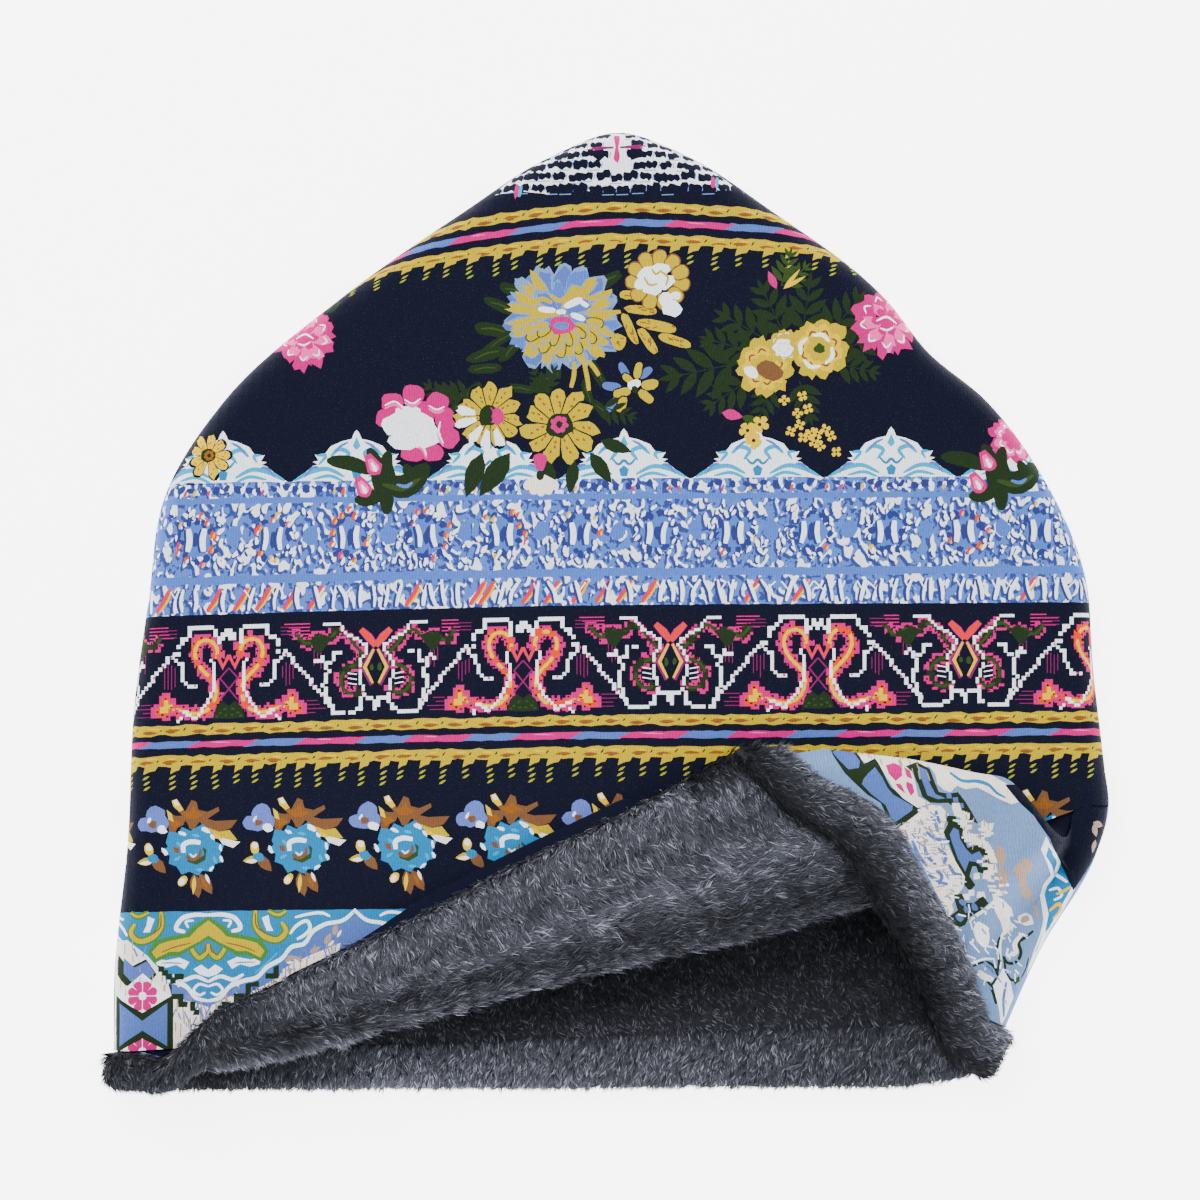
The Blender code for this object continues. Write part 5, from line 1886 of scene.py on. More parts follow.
def corner_net(put, line):
    """The pale net with blue scrolls, and short stitches on it."""
    put("cream", (398, 466), (500, 385), (545, 342), (612, 348), (655, 392), (632, 440), (632, 500),
        (660, 565), (700, 640), (748, 712), (724, 760), (690, 800), (650, 880), (600, 800),
        (545, 690), (500, 600), (456, 530))
    for points in NET_SCROLLS:
        line("blue", 19, *points)
    for x, y in ((520, 430), (560, 455), (480, 480), (600, 540), (570, 590), (640, 670), (600, 760),
            (660, 770)):
        line("beige", 5, (x - 22, y), (x + 18, y - 8))
        line("beige", 5, (x - 18, y + 13), (x + 22, y + 5))


def corner_bows(put, line):
    """Blue shapes with green edges, and the pale scraps beside them."""
    put("green", (636, 396), (690, 400), (702, 440), (732, 450), (726, 490), (752, 558), (800, 545),
        (852, 572), (892, 650), (856, 692), (810, 682), (796, 652), (776, 652), (762, 700),
        (792, 742), (762, 772), (732, 742), (738, 704), (688, 622), (658, 540), (628, 480),
        (650, 440))
    put("blue", (680, 456), (706, 470), (712, 512), (742, 562), (772, 592), (812, 576), (852, 632),
        (832, 660), (802, 632), (760, 624), (740, 678), (702, 612), (672, 532), (660, 490))
    for x, y in ((890, 660), (862, 700), (800, 700), (772, 780), (830, 790), (742, 800)):
        put("cream", (x - 16, y - 14), (x + 18, y - 16), (x + 22, y + 14), (x - 18, y + 16))
    put("beige", (918, 548), (948, 566), (958, 610), (940, 652), (958, 700), (946, 748), (914, 742),
        (904, 700), (924, 650), (904, 600))
    put("beige", (978, 652), (1040, 598), (1076, 622), (1070, 662), (1040, 692), (1052, 742),
        (1082, 792), (1062, 826), (1022, 792), (1008, 732))
    put("cream", (1010, 900), (1050, 884), (1090, 910), (1100, 950), (1060, 958), (1018, 940))
    put("beige", (1036, 908), (1066, 902), (1080, 930), (1050, 944), (1032, 930))
    line("beige", 16, (1082, 820), (1110, 870), (1120, 920))


def corner_foot(put, line):
    """Scrolls and leaves towards the corner's point."""
    put("green", (676, 790), (722, 784), (744, 828), (792, 830), (842, 796), (862, 830), (804, 892),
        (768, 900), (742, 942), (702, 956), (652, 900), (700, 866))
    for x, y in ((726, 828), (748, 862), (796, 852), (712, 904)):
        put("blue", *oval(x, y, 24, 15, 40, 9, 0.2))
    line("cream", 22, (640, 822), (668, 862), (640, 900), (690, 960))
    line("cream", 15, (900, 800), (860, 850), (800, 900), (770, 930))
    put("cream", (880, 780), (930, 812), (984, 868), (964, 912), (990, 960), (940, 1000),
        (920, 930), (888, 868))
    put("white", *oval(828, 990, 34, 66, -12, 16, 0.06))
    line("white", 13, (775, 1136), (840, 1116), (900, 1122))
    line("white", 14, (930, 830), (960, 930), (925, 1010), (935, 1130))
    line("green", 15, (918, 1004), (905, 1060), (925, 1120), (920, 1190))
    line("green", 15, (780, 1152), (840, 1132), (896, 1160), (918, 1210), (884, 1262))
    line("blue", 14, (838, 1148), (880, 1172), (900, 1200))
    line("cream", 34, (806, 1180), (840, 1208), (896, 1232))
    line("green", 20, (866, 1240), (890, 1275), (910, 1350))
    line("green", 17, (1098, 984), (1060, 1014), (1024, 1040), (1036, 1094), (1016, 1136),
        (970, 1146), (946, 1110))
    line("cream", 24, (1040, 1000), (1004, 1052), (1010, 1090), (964, 1112))
    line("green", 13, (948, 1110), (980, 1224), (1020, 1240))
    line("green", 10, (1080, 1120), (1070, 1180), (1046, 1226))
    put("moss", (1000, 1228), (1032, 1212), (1040, 1240), (1008, 1258))
    put("white", (944, 1176), (984, 1240), (1010, 1320), (972, 1420), (946, 1466), (924, 1370),
        (896, 1264))
    line("blue", 15, (962, 1240), (948, 1330), (958, 1420))


def corner_side(put, line):
    """The white and turquoise scrolls along the corner's outer side."""
    put("white", (1138, 500), (1200, 590), (1290, 700), (1330, 760), (1270, 900), (1180, 1050),
        (1090, 1220), (1090, 1160), (1130, 1040), (1150, 930), (1122, 800), (1136, 740),
        (1172, 692), (1146, 622), (1114, 560))
    put("turquoise", (1152, 545), (1212, 622), (1272, 708), (1300, 762), (1240, 880), (1190, 980),
        (1168, 1000), (1176, 900), (1152, 800), (1160, 752), (1192, 700), (1172, 640), (1140, 590))
    line("white", 17, (1176, 575), (1206, 620), (1200, 690), (1240, 720), (1270, 740))
    line("white", 15, (1176, 780), (1222, 770), (1242, 808), (1200, 830))
    line("yellow", 20, (1180, 884), (1232, 852), (1250, 884), (1206, 930))
    line("yellow", 16, (1214, 800), (1262, 780), (1290, 764))
    line("turquoise", 20, (1146, 1000), (1130, 1060), (1120, 1100))
    line("white", 15, (1160, 940), (1130, 1050), (1108, 1110))


def corner_print():
    """The part of the lower zone that shows on the corner: woven-looking blocks on light blue."""
    art = Print("mist")

    def placed_at(points):
        return [(CORNER_AT[0] + x / 5, CORNER_AT[1] + y / 5) for x, y in points]

    def put(colour, *points):
        art.level(colour, placed_at(points))

    def line(colour, wide, *points):
        put(colour, *stroke(points, wide, 0.6))

    for part in (corner_blocks, corner_net, corner_bows, corner_foot, corner_side):
        part(put, line)
    net = placed_at(((398, 466), (500, 385), (545, 342), (612, 348), (655, 392), (632, 440),
        (632, 500), (660, 565), (700, 640), (748, 712), (724, 760), (690, 800), (650, 880),
        (600, 800), (545, 690), (500, 600), (456, 530)))
    band = placed_at(((560, 332), (610, 336), (690, 360), (742, 400), (806, 430), (886, 436),
        (880, 480), (842, 545), (902, 640), (960, 760), (900, 840), (860, 700), (760, 560),
        (700, 440), (640, 370)))
    top = placed_at(((0, 30), (180, 80), (330, 90), (600, 160), (600, 230), (300, 150), (60, 60)))
    foot = placed_at(((650, 880), (1000, 800), (1100, 1000), (1000, 1400), (930, 1400)))
    for colour, border, count, long, wide, slant, spread in (
        ("mist", net, 50, 7, 2.0, 60, 40),
        ("beige", net, 60, 7, 1.4, 0, 8),
        ("white", net, 40, 7, 1.8, 0, 12),
        ("cream", band, 46, 8, 3.0, 0, 10),
        ("beige", band, 24, 6, 1.6, 90, 10),
        ("beige", top, 24, 7, 1.4, 70, 8),
        ("white", foot, 60, 8, 2.2, 60, 50),
        ("mist", foot, 30, 8, 2.0, 60, 40),
    ):
        hatch(art, colour, border, count, long, wide, slant, spread)
    put("navy", (952, 255), (1100, 290), (1260, 325), (1500, 340), (1520, 500), (1440, 640),
        (1310, 790), (1232, 650), (1156, 515), (1080, 405), (1016, 325))
    for x, y, turn in ((1172, 345, 62), (1196, 350, 92), (1240, 356, 62), (1264, 362, 84)):
        put("amber", *leaf(x, y, 72, 34, turn))
    for x, y, turn in ((1400, 450, 70), (1420, 530, 100), (1398, 440, 20)):
        put("beige", *leaf(x, y, 70, 34, turn))
    return art


def corner_chart(cloth):
    """The corner piece seen from above, with the outer half of the turn that it hangs from."""
    shares = shares_of_fold(5)
    shares = shares[shares >= PLEAT_START - 1e-9]
    rungs = 40
    rows = pleat_rows(shares, 0.5, 1.0, 12)[:-1] + corner_rows(shares, rungs)
    middle = grid(rows)
    lying = cloth.skin(middle.reshape(-1, 3), JERSEY_DEPTH).reshape(middle.shape)
    flat = middle[:, :, :2].copy()
    step = np.linspace(0, 1, rungs + 1)
    foot, out = LOWER_SIDE.at(step), LOWER_SIDE.left(step)
    flats, lies = [flat], [lying]
    for angle in np.linspace(0, math.pi / 2, TURN_STEPS + 1)[1:]:
        strip, raised = flat[-1:].copy(), lying[-1:].copy()
        strip[0, -rungs - 1 :] = foot + out * SKIN * angle
        rise = back_height(foot) + SIDE_RADIUS + SKIN * math.cos(angle)
        raised[0, -rungs - 1 :] = np.column_stack([foot + out * SKIN * math.sin(angle), rise])
        flats.append(strip)
        lies.append(raised)
    return Chart(np.concatenate(flats), np.concatenate(lies))


# Laying the print on the cloth
FRONT_PITCH = 0.0032
BACK_PITCH = 0.007
CORNER_PITCH = 0.002
CHART_SIDE = 0.32


def within(polygon, low, high):
    return (polygon.max(axis=0) > low).all() and (polygon.min(axis=0) < high).all()


def drawn(name, chart, art, materials, pitch=FRONT_PITCH):
    """The print as one mesh: its shapes cut into the chart, coloured from the last one down."""
    low, high = chart.border.min(axis=0), chart.border.max(axis=0)
    shapes = [shape for shape in art.shapes if within(shape[1], low, high)]
    dots = np.stack(np.meshgrid(*(np.arange(a, b, pitch) for a, b in zip(low, high))), -1)
    dots = dots.reshape(-1, 2)
    points = [chart.border] + [places for _, places in shapes]
    starts = np.cumsum([0] + [len(polygon) for polygon in points])
    edges = []
    for start, polygon in zip(starts, points):
        index = np.arange(len(polygon))
        edges += (start + np.column_stack([index, np.roll(index, -1)])).tolist()
    # The cutting works in millimetres, so that its tolerance is far below a stitch
    points = np.concatenate(points + [dots]) * 1000
    cut = delaunay_2d_cdt([Vector(point) for point in points], edges, [], 0, 1e-4, False)
    places = np.array([tuple(point) for point in cut[0]]) / 1000
    faces = np.array([tuple(face) for face in cut[2]])
    middles = places[faces].mean(axis=1)
    faces = faces[inside(chart.border, middles)]
    middles = places[faces].mean(axis=1)
    order = np.argsort(middles[:, 0])
    along = middles[order, 0]
    names = list(COLOURS) + ["mottled"]
    tints = np.full(len(faces), names.index(art.ground))
    for colour, polygon in shapes:
        (left, bottom), (right, top) = polygon.min(axis=0), polygon.max(axis=0)
        near = order[np.searchsorted(along, left) : np.searchsorted(along, right)]
        near = near[(middles[near, 1] > bottom) & (middles[near, 1] < top)]
        tints[near[inside(polygon, middles[near])]] = names.index(colour)
    used, faces = np.unique(faces, return_inverse=True)
    faces = faces.reshape(-1, 3)
    thing = add_mesh(name, chart.lay(places[used]), faces, materials, "printed_shell")
    mesh = thing.data
    palette = np.array([(*linear(COLOURS.get(name, COLOURS["wash"])), 1.0) for name in names])
    tint = mesh.color_attributes.new("print", "FLOAT_COLOR", "CORNER")
    tint.data.foreach_set("color", np.repeat(palette[tints], 3, axis=0).ravel())
    mesh.polygons.foreach_set("material_index", (tints == len(names) - 1).astype(np.int32))
    charted = mesh.uv_layers.new(name="OFBake")
    spread = (places[used] / CHART_SIDE + 0.5)[faces.ravel()]
    charted.data.foreach_set("uv", spread.ravel())
    return thing


# The plush: strands in small locks, dark at the root as painted shade among the strands, and light
# at the tip with painted highlights
LIFT = 0.0004
LOCK_SIZE = 0.00075
SIDE_WAYS = [(azimuth, slope) for azimuth in range(0, 360, 45) for slope in (12, 40)]
SEEN_FROM_SIDE = 0.3
GRAZING = 0.02
LOOK_REACH = 0.5
# Painted shade at the roots, each strand's own tone at the tip, and the painted highlight of a
# glinting strand
ROOT_PAINTED_SHADE = (9, 9, 11)
TIP_TONE = (66, 67, 75)
PAINTED_GLINT_TONE = (142, 144, 157)
# Spreads among the locks, then among the strands of one lock: of direction, length and lean
LOCK_SWING, STRAND_SWING = 0.20, 0.13
LOCK_LENGTHS, STRAND_LENGTHS = (0.75, 1.2), (0.7, 1.15)
LOCK_LEAN, STRAND_LEAN = 0.10, 0.06
LEAN_LIMITS = (0.1, 0.97)
ROOT_DEPTH = 0.0003
TIP_RISE = 0.35
BEND, BEND_SIZE, STRAND_BEND = math.radians(26), 0.0042, 0.12
KNEE_SHARE, TIP_SHARE = 0.55, 0.5
GATHERED = 0.38
BREADTHS = (0.7, 1.25)
TWIST = 0.35
LOWEST = 0.00005
# Brightness by lock and by strand, partly their own tone and partly painted highlight; above the
# level they gleam with painted highlights
LOCK_GLINT, STRAND_GLINT, GLINT_LIMITS = 0.35, 0.6, (-1, 1.6)
GLINT_LEVEL = 0.75
# Where a strand's foot, two knee points and tip lie in its own cell of the bake's chart
STRAND_CELL = np.array([(0.5, 0.1), (0.15, 0.55), (0.85, 0.55), (0.5, 0.9)])


class Surface:
    """Triangles that strands can grow on, how much of each is seen, and the nap's direction."""

    def __init__(self, points, faces, flow, region):
        self.points, self.faces = points, np.array(faces)
        self.flow, self.region = flow, np.array(region)
        corners = points[self.faces]
        across = np.cross(corners[:, 1] - corners[:, 0], corners[:, 2] - corners[:, 0])
        self.area = np.linalg.norm(across, axis=1) / 2
        self.middles, self.normals = corners.mean(axis=1), unit(across)

    def watch(self, tree):
        """1 for triangles seen from above, a part for those seen only from the sides."""
        starts = self.middles + self.normals * LIFT
        self.seen = np.zeros(len(starts))
        ways = [(Vector((0, 0, 1)), 1.0)]
        for azimuth, slope in SIDE_WAYS:
            a, s = math.radians(azimuth), math.radians(slope)
            way = Vector((math.cos(a) * math.cos(s), math.sin(a) * math.cos(s), math.sin(s)))
            ways.append((way, SEEN_FROM_SIDE))
        for i, start in enumerate(starts):
            for way, share in ways:
                if self.normals[i] @ way <= GRAZING:
                    continue
                if tree.ray_cast(Vector(start), way, LOOK_REACH)[0] is None:
                    self.seen[i] = share
                    break


def smooth_noise(places, size, seed):
    """An even wavering field, between about -1 and 1."""
    total = np.zeros(len(places))
    for i in range(5):
        turn = seed * 1.7 + i * 2.4
        phase = places[:, 0] * math.cos(turn) + places[:, 1] * math.sin(turn) + 0.5 * places[:, 2]
        total += np.sin(phase / size * (0.8 + 0.35 * i) * 2 * math.pi + seed * 3.1 + i)
    return total / 2.6


class Pile(NamedTuple):
    """Strands on one region: how many for each square millimetre, their sizes, how far they lean
    over, as a share, and how far they stray from the nap's direction, in degrees."""

    name: str
    region: int
    density: float
    length: float
    breadth: float
    lean: float
    stray: float


def rooted(surface, weight, count):
    """Random places on the surface, even by the triangles' weights."""
    picks = chance.choice(len(weight), count, p=weight / weight.sum())
    a, b = chance.random((2, count, 1))
    folded = a + b > 1
    a, b = np.where(folded, 1 - a, a), np.where(folded, 1 - b, b)
    one, two, three = surface.points[surface.faces[picks]].transpose(1, 0, 2)
    return picks, one + a * (two - one) + b * (three - one)


def locked(roots, locks):
    """The middles of the locks, and the number of the lock that each strand belongs to."""
    centre = roots[chance.choice(len(roots), locks, replace=False)]
    tree = KDTree(locks)
    for i, place in enumerate(centre):
        tree.insert(place, i)
    tree.balance()
    return centre, np.array([tree.find(root)[1] for root in roots])


def swung(ways, sides, angles):
    return ways * np.cos(angles)[:, None] + sides * np.sin(angles)[:, None]


def strands(pile, surface, nap, material, node):
    """Strands on a region of the surface: each has a foot, two knee points and a tip."""
    weight = surface.area * surface.seen * (surface.region == pile.region)
    count = int(weight.sum() * 1e6 * pile.density)
    picks, roots = rooted(surface, weight, count)
    normal = surface.normals[picks]
    flow = surface.flow(roots, picks)
    stray = 0.6 * smooth_noise(roots, 0.021, 1) + 0.7 * smooth_noise(roots, 0.008, 5)
    flow = unit(flow - normal * (flow * normal).sum(axis=1)[:, None])
    flow = swung(flow, np.cross(normal, flow), np.radians(pile.stray) * stray)
    locks = int(weight.sum() / LOCK_SIZE**2)
    centre, lock = locked(roots, locks)
    swing = chance.normal(0, LOCK_SWING, locks)[lock] + chance.normal(0, STRAND_SWING, count)
    flow = swung(flow, np.cross(normal, flow), swing)
    long = pile.length * chance.uniform(*LOCK_LENGTHS, locks)[lock]
    long = long * chance.uniform(*STRAND_LENGTHS, count)
    lie = pile.lean + chance.normal(0, LOCK_LEAN, locks)[lock] + chance.normal(0, STRAND_LEAN,
        count)
    lie = np.clip(lie, *LEAN_LIMITS)[:, None]
    first = unit(normal * (1 - lie) + flow * lie)
    second = unit(normal * (1 - lie) * TIP_RISE + flow * lie)
    foot = roots - normal * ROOT_DEPTH
    bend = BEND * smooth_noise(roots, BEND_SIZE, 9) + chance.normal(0, STRAND_BEND, count)
    second = swung(second, np.cross(normal, second), bend)
    knee = foot + first * (KNEE_SHARE * long)[:, None]
    tip = knee + second * (TIP_SHARE * long)[:, None]
    gather = centre[lock] + (tip - foot)
    tip += GATHERED * (gather - tip)
    half = (pile.breadth * chance.uniform(*BREADTHS, count) / 2)[:, None]
    side = normal + TWIST * chance.standard_normal((count, 3))
    side = unit(np.cross(unit(tip - foot), side))
    points = np.stack([foot, knee - side * half, knee + side * half, tip], 1)
    points[:, :, 2] = np.maximum(points[:, :, 2], LOWEST)
    numbers = 4 * np.arange(count)[:, None]
    faces = np.concatenate([numbers + corners for corners in ((0, 2, 1), (1, 2, 3))])
    mesh = add_mesh(pile.name, points.reshape(-1, 3), faces, [material], node).data
    # glint: each strand's own tone, and painted highlight on the brightest ones
    glint = chance.normal(0.0, LOCK_GLINT, locks)[lock] + chance.normal(0, STRAND_GLINT, count)
    glint = np.clip(glint, *GLINT_LIMITS) * 0.5 + 0.5
    layer = mesh.color_attributes.new("print", "FLOAT_COLOR", "POINT")
    # nap gives the painted light and shade of each strand's place
    layer.data.foreach_set("color", strand_colours(glint, nap(roots, picks)).ravel())
    charted = mesh.uv_layers.new(name="OFBake")
    charted.data.foreach_set("uv", strand_chart(count)[faces.ravel()].ravel())
    across = np.cross(tip - foot, side)
    up = np.sign((across * normal).sum(axis=1))[:, None]
    shown = unit(normal * 0.75 + 0.45 * unit(across) * up)
    mesh.normals_split_custom_set_from_vertices(np.repeat(shown, 4, axis=0).tolist())


def strand_colours(glint, nap):
    """The colours of each strand's four points: painted shade at the foot, and at the tip its own
    tone with painted highlights and the painted light and shade of its place.
    """
    root, body, gleam = (np.array(linear(shade)) for shade in (ROOT_PAINTED_SHADE, TIP_TONE, PAINTED_GLINT_TONE))
    gleaming = (np.clip(glint - GLINT_LEVEL, 0, 1) * 1.6)[:, None]
    # Each strand's own tone, with painted highlights where it glints
    bright = body * (0.55 + 0.5 * glint)[:, None] + (gleam - body) * gleaming
    # nap: the painted light and shade of the strand's place
    bright = bright * nap[:, None]
    middle = 0.3 * root + 0.5 * bright
    shades = np.stack([root + 0 * bright, middle, middle, bright], 1)
    return np.concatenate([shades, np.ones((len(glint), 4, 1))], axis=2)


def strand_chart(count):
    """A square cell for each strand, in rows."""
    cells = int(math.ceil(math.sqrt(count)))
    numbers = np.arange(count)
    spot = np.column_stack([numbers % cells, numbers // cells])[:, None, :]
    return ((spot + STRAND_CELL) / cells).reshape(-1, 2)


# The patches of the middle surface, numbered in the order that patches() gives them
BACK, TURN, FRONT, FLAP_TURN, FLAP_TOP, PLEAT, CORNER = range(7)
BACK_HEM, FLAP_HEM, CORNER_HEM = range(3)

LINING_PILES = (
    Pile("flap_pile", FLAP_TOP, 14, 0.0046, 0.00023, 0.82, 26),
    Pile("back_pile", BACK, 7.0, 0.0026, 0.00028, 0.62, 40),
    Pile("corner_pile", CORNER, 8, 0.0022, 0.00026, 0.62, 40),
)
HEM_PILES = (
    Pile("back_hem_pile", BACK_HEM, 9.2, 0.0030, 0.00027, 0.66, 28),
    Pile("flap_hem_pile", FLAP_HEM, 14, 0.0038, 0.00023, 0.74, 22),
    Pile("corner_hem_pile", CORNER_HEM, 11.6, 0.0036, 0.00026, 0.78, 24),
)

# Painted light and shade on the nap, by how far the place is from the flap's fold, and on the back
# by height
FLAP_PAINTED_LIGHT = np.array([(0.0, 0.75), (0.12, 1.2), (0.28, 1.9), (0.45, 2.9), (0.60, 2.3), (0.75, 1.7),
    (0.90, 1.8), (1.0, 2.4)])
BACK_PAINTED_LIGHT = np.array([(-0.134, 1.5), (-0.122, 1.1), (-0.112, 0.75), (-0.100, 0.6), (-0.085, 0.6)])
# Painted light and shade on the hem rolls, by how far across the roll the place is
ROLL_PAINTED_LIGHT = np.array([(0.0, 3.4), (0.25, 2.3), (0.5, 1.4), (0.75, 0.75), (1.0, 0.2)])
HEM_PAINTED_LIGHT = np.array([(0.0, 1.5), (0.5, 2.3), (1.0, 2.6)])
# How much of that painted light is left along X, as painted shade where the flap, the corner and
# the folds shade it
BACK_HEM_PAINTED_LIGHT = np.array([(-0.111, 0.4), (-0.089, 0.8), (-0.066, 1.7), (-0.044, 1.35),
    (-0.022, 1.2), (0.0, 1.0), (0.022, 1.0), (0.044, 0.76), (0.066, 0.66), (0.089, 0.66)])
FLAP_HEM_PAINTED_LIGHT = np.array([(-0.111, 0.45), (-0.095, 0.7), (-0.075, 1.0)])
BACK_PAINTED_SHADE = np.array([(0.040, 1.0), (0.066, 0.75), (0.080, 0.55)])


def flap_place(plan):
    """Of places seen from above: the nearest share of the fold, how far off it is, and its left."""
    nearest = np.linalg.norm(plan[:, None] - FOLD.points[None, ::6], axis=2).argmin(axis=1)
    share = np.interp(nearest * 6, np.arange(len(FOLD.points)), FOLD.shares)
    return share, FOLD.distance(plan) / np.maximum(flap_depth(share), 0.004), FOLD.left(share)


# The nap's directions: on the back and the corner, on the hem of the flap, and on the two rolls
BACK_NAP = np.array([0.45, -1.0])
HEM_LEFT, HEM_ALONG, HEM_TURN = -0.8, 0.45, (0.25, 0.6)
CORNER_ROLL_NAP = np.array([0.62, -0.78, -0.1])
FLAP_ROLL_NAP = np.array([0.35, -0.93, 0.0])
CORNER_ROLL_START, CORNER_ROLL_FADE = 0.70, 0.06
BACK_ROLL_END, BACK_ROLL_FADE = 0.45, 0.05
# The flap's left end lies in the shade of the back: how deep, up to which share of the fold, and
# down to which share of the flap's depth
FLAP_SHADE = 0.6
SHADE_START, SHADE_FADE = 0.12, 0.30
SHADE_DEPTH, SHADE_EDGE = 0.85, 0.2


def lining_flow(cloth):
    """The nap on the lining: across the flap by its hem, then along its fold; down on the back."""
    patch = np.array(cloth.patch)

    def flow(roots, picks):
        share, away, left = flap_place(roots[:, :2])
        along = np.column_stack([left[:, 1], -left[:, 0]])
        turn = ease((away - HEM_TURN[0]) / HEM_TURN[1])[:, None]
        across = left * HEM_LEFT + along * HEM_ALONG
        on_flap = along * (1 - turn) + across * turn
        on_back = np.broadcast_to(BACK_NAP, (len(roots), 2))
        chosen = np.where((patch[picks] >= FLAP_TURN)[:, None], on_flap, on_back)
        return unit(np.column_stack([chosen, np.zeros(len(roots))]))

    return flow


# Painted light and shade on the flap's plush: lighter on its crest, painted shade at its left end,
# with some random tone
def flap_painted_shading(roots, picks):
    share, away, left = flap_place(roots[:, :2])
    painted_light = np.interp(away, FLAP_PAINTED_LIGHT[:, 0], FLAP_PAINTED_LIGHT[:, 1])
    left_end_shade = FLAP_SHADE * (1 - ease((share - SHADE_START) / SHADE_FADE))
    left_end_shade = left_end_shade * ease((SHADE_DEPTH - away) / SHADE_EDGE)
    return painted_light * (1 - left_end_shade) * (1 + 0.22 * smooth_noise(roots, 0.016, 4))


# Painted light and shade on the back's and the corner's plush: lighter towards the hem, painted
# shade towards the right, with some random tone
def back_painted_shading(roots, picks):
    painted_light = np.interp(roots[:, 1], BACK_PAINTED_LIGHT[:, 0], BACK_PAINTED_LIGHT[:, 1])
    shade = np.interp(roots[:, 0], BACK_PAINTED_SHADE[:, 0], BACK_PAINTED_SHADE[:, 1])
    return painted_light * shade * (1 + 0.15 * smooth_noise(roots, 0.013, 4))


def roll_painted_shading(cloth, sides, rows, light=np.array([(0.0, 1.0)])):
    """Painted light and shade on the hem roll's plush, by how far across the roll the place is, and
    where along X.
    """
    rim = cloth.points[cloth.edge]
    _, width = roll_widths(cloth)

    # The painted light and shade of each root on the roll
    def nap(roots, picks):
        station = (picks // 2) // sides
        across = ((roots - rim[station]) * cloth.out[station]).sum(axis=1) / width[station]
        shade = np.interp(roots[:, 0], light[:, 0], light[:, 1])
        return shade * np.interp(across, rows[:, 0], rows[:, 1])

    return nap


def roll_flow(cloth, sides):
    """The nap on the hem roll: over the cloth's edge, and down the folded corner's roll."""
    rim = cloth.points[cloth.edge]
    along = unit(np.roll(rim, -1, axis=0) - np.roll(rim, 1, axis=0))
    wide = ease((cloth.shares - CORNER_ROLL_START) / CORNER_ROLL_FADE)[:, None]
    hem = ease((BACK_ROLL_END - cloth.shares) / BACK_ROLL_FADE)[:, None]
    ways = wide * (0.9 * CORNER_ROLL_NAP - 0.55 * cloth.out) + hem * (cloth.out + 0.25 * along)
    ways += (1 - wide) * (1 - hem) * FLAP_ROLL_NAP

    def flow(roots, picks):
        return ways[(picks // 2) // sides]

    return flow


# The strip of the jersey's edge that shows past the lining, by shares of the free edge
SLIVER = 0.0026
SLIVER_START, SLIVER_RISE = 0.56, 0.05
SLIVER_END, SLIVER_FALL = 0.73, 0.02
HEM_INK_START, HEM_INK_END = 0.44, 0.735
JERSEY_SHEET = 0.25
LINING_REACH = 1.9
# The free edge's parts: the back's hem, then the flap's, then the folded corner's
BACK_HEM_END, FLAP_HEM_END = 0.5, 0.74


def hem_ink():
    """The pale print that shows beside the flap's plush."""
    material, tree, shader = new_material("hem_jersey", JERSEY_ROUGHNESS)
    nodes = Nodes(tree)
    place = nodes.add("TexCoord").outputs["Object"]
    blotch = nodes.near(nodes.noise(place, 170.0, 1.0), 0.62, 0.12)
    tree.links.new(nodes.mix(blotch, tone("cream"), tone("blue")), shader.inputs["Base Color"])
    return material


def cloth_walls(cloth, under, plush):
    """The jersey's and the lining's sheets, under the print and the plush."""
    turned, width = roll_widths(cloth)
    seam = np.full_like(turned, CLEARANCE)
    shares = cloth.shares
    pale = ease((shares - SLIVER_START) / SLIVER_RISE) * ease((SLIVER_END - shares) / SLIVER_FALL)
    peek = seam + ease(1 - 2 * turned) * (width + SHELL_PEEK - CLEARANCE)
    peek += SLIVER * pale
    inked = (shares > HEM_INK_START) & (shares < HEM_INK_END)
    bare = np.zeros(len(shares), bool)
    jersey = [plain("plain_jersey", COLOURS["navy"]), hem_ink()]
    over, below = JERSEY_SHEET * JERSEY_DEPTH * cloth.normals, CLEARANCE / 4 * cloth.normals
    wall("shell_cloth", cloth, over, below, peek, jersey, inked, "printed_shell")
    over = -CLEARANCE / 2 * cloth.normals
    wall("lining_cloth", cloth, over, under, LINING_REACH * seam, [plush], bare, "fleece_lining")


def pile_material():
    """The plush's finish, with each strand's own colours."""
    pile = plain("plush_pile", (90, 92, 100))
    nodes = Nodes(pile.node_tree)
    colour = nodes.add("VertexColor", layer_name="print").outputs["Color"]
    nodes.feed(pile.node_tree.nodes["Principled BSDF"].inputs["Base Color"], colour)
    return pile


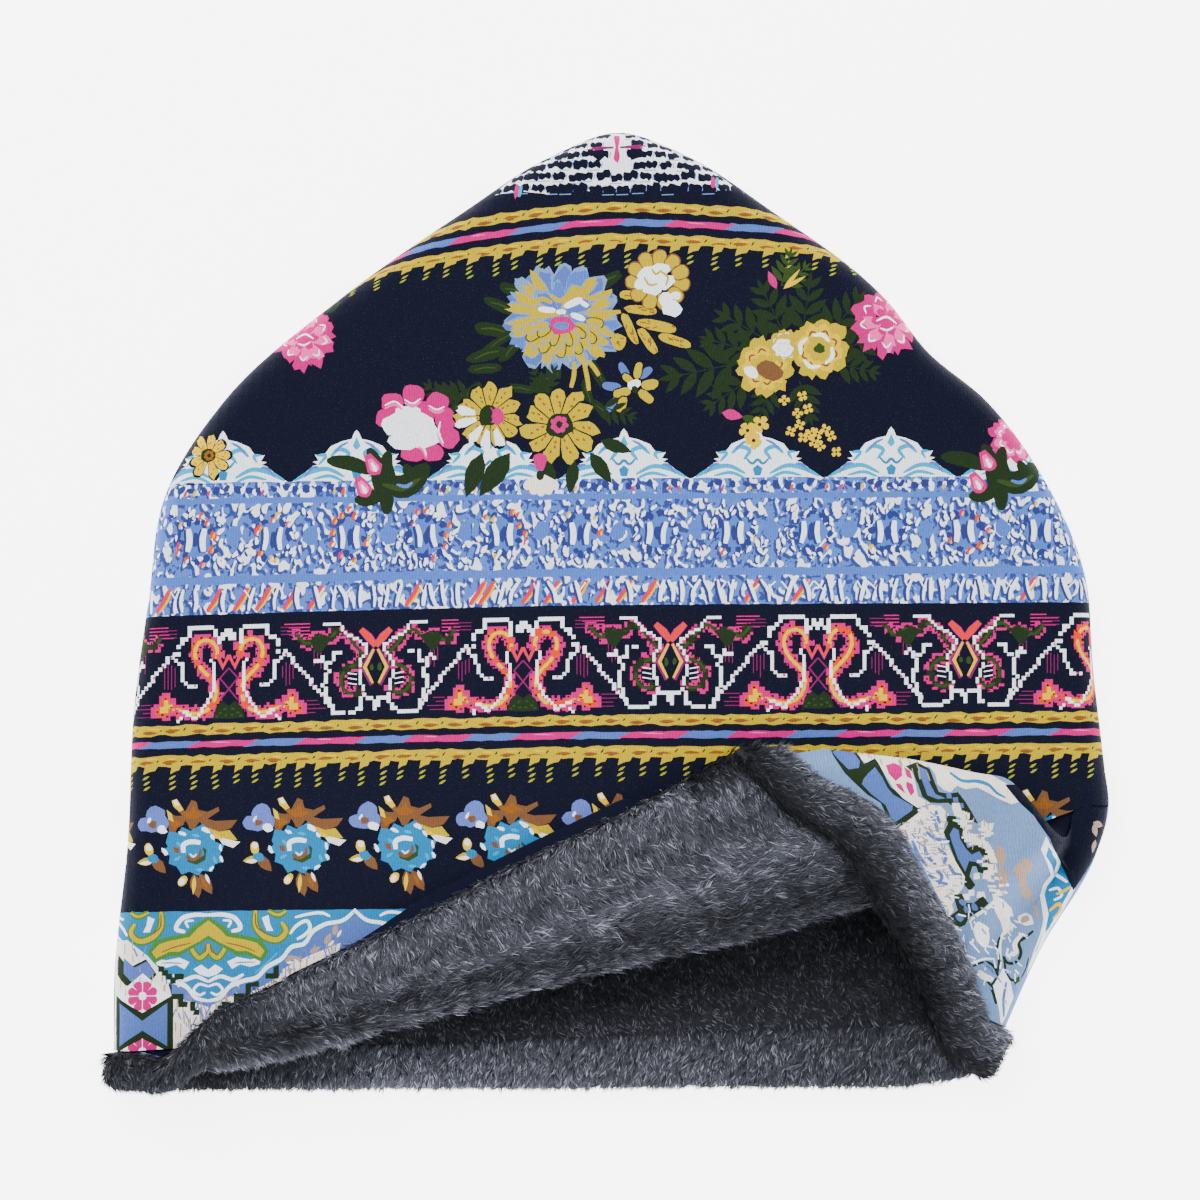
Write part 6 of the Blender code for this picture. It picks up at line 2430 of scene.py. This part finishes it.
def plush_surfaces(cloth, under, ring):
    """The lining and the hem roll as surfaces for strands, with what can be seen of them."""
    patch = np.array(cloth.patch)
    inward = [face[::-1] for face in cloth.faces]
    lining = Surface(cloth.points + under, inward, lining_flow(cloth), patch)
    index, beside, both, ahead = around(ring)
    halves = [np.stack([index, beside, both], -1), np.stack([index, both, ahead], -1)]
    halves = np.stack(halves, 2).reshape(-1, 3)
    later = np.where(cloth.shares < FLAP_HEM_END, FLAP_HEM, CORNER_HEM)
    part = np.repeat(np.where(cloth.shares < BACK_HEM_END, BACK_HEM, later), 2 * ring.shape[1])
    roll = Surface(ring.reshape(-1, 3), halves, roll_flow(cloth, ring.shape[1]), part)
    jersey = cloth.points + JERSEY_DEPTH * cloth.normals, np.array(cloth.faces)
    blockers = [(lining.points, lining.faces), (roll.points, roll.faces), jersey]
    starts = np.cumsum([0] + [len(points) for points, _ in blockers])
    points = np.concatenate([points for points, _ in blockers])
    faces = np.concatenate([faces + start for (_, faces), start in zip(blockers, starts)])
    tree = BVHTree.FromPolygons(points.tolist(), faces.tolist(), epsilon=0.0)
    lining.watch(tree)
    roll.watch(tree)
    lining.region = np.where(patch == FLAP_TURN, FLAP_TOP, np.where(patch == TURN, BACK, patch))
    return lining, roll


def main():
    cloth = Cloth()
    plush = plain("dark_plush", (34, 35, 41))
    under = -CLEARANCE / 2 * cloth.normals - lining_wall(cloth.points)[:, None] * cloth.plush
    cloth_walls(cloth, under, plush)
    ring = roll_ring(cloth)
    core = np.stack(around(ring), -1).reshape(-1, 4)
    add_mesh("hem_roll_core", ring.reshape(-1, 3), core, [plush], "plush_hem_roll")
    inks = [ink("printed_jersey"), ink("mottled_jersey", True)]
    art = front_print()
    drawn("front_print", front_chart(), art, inks)
    drawn("back_print", back_chart(), art, inks, BACK_PITCH)
    drawn("corner_print", corner_chart(cloth), corner_print(), inks, CORNER_PITCH)
    pile = pile_material()
    lining, roll = plush_surfaces(cloth, under, ring)
    # Each lining pile's strands take painted light and shade from these functions
    for row, nap in zip(LINING_PILES, (flap_painted_shading, back_painted_shading, back_painted_shading)):
        strands(row, lining, nap, pile, "fleece_lining")
    sides = ring.shape[1]
    # Painted light and shade on the three hem rolls
    roll_painted_shadings = (
        roll_painted_shading(cloth, sides, HEM_PAINTED_LIGHT, BACK_HEM_PAINTED_LIGHT),
        roll_painted_shading(cloth, sides, HEM_PAINTED_LIGHT, FLAP_HEM_PAINTED_LIGHT),
        roll_painted_shading(cloth, sides, ROLL_PAINTED_LIGHT),
    )
    for row, nap in zip(HEM_PILES, roll_painted_shadings):
        strands(row, roll, nap, pile, "plush_hem_roll")
    stage()


main()
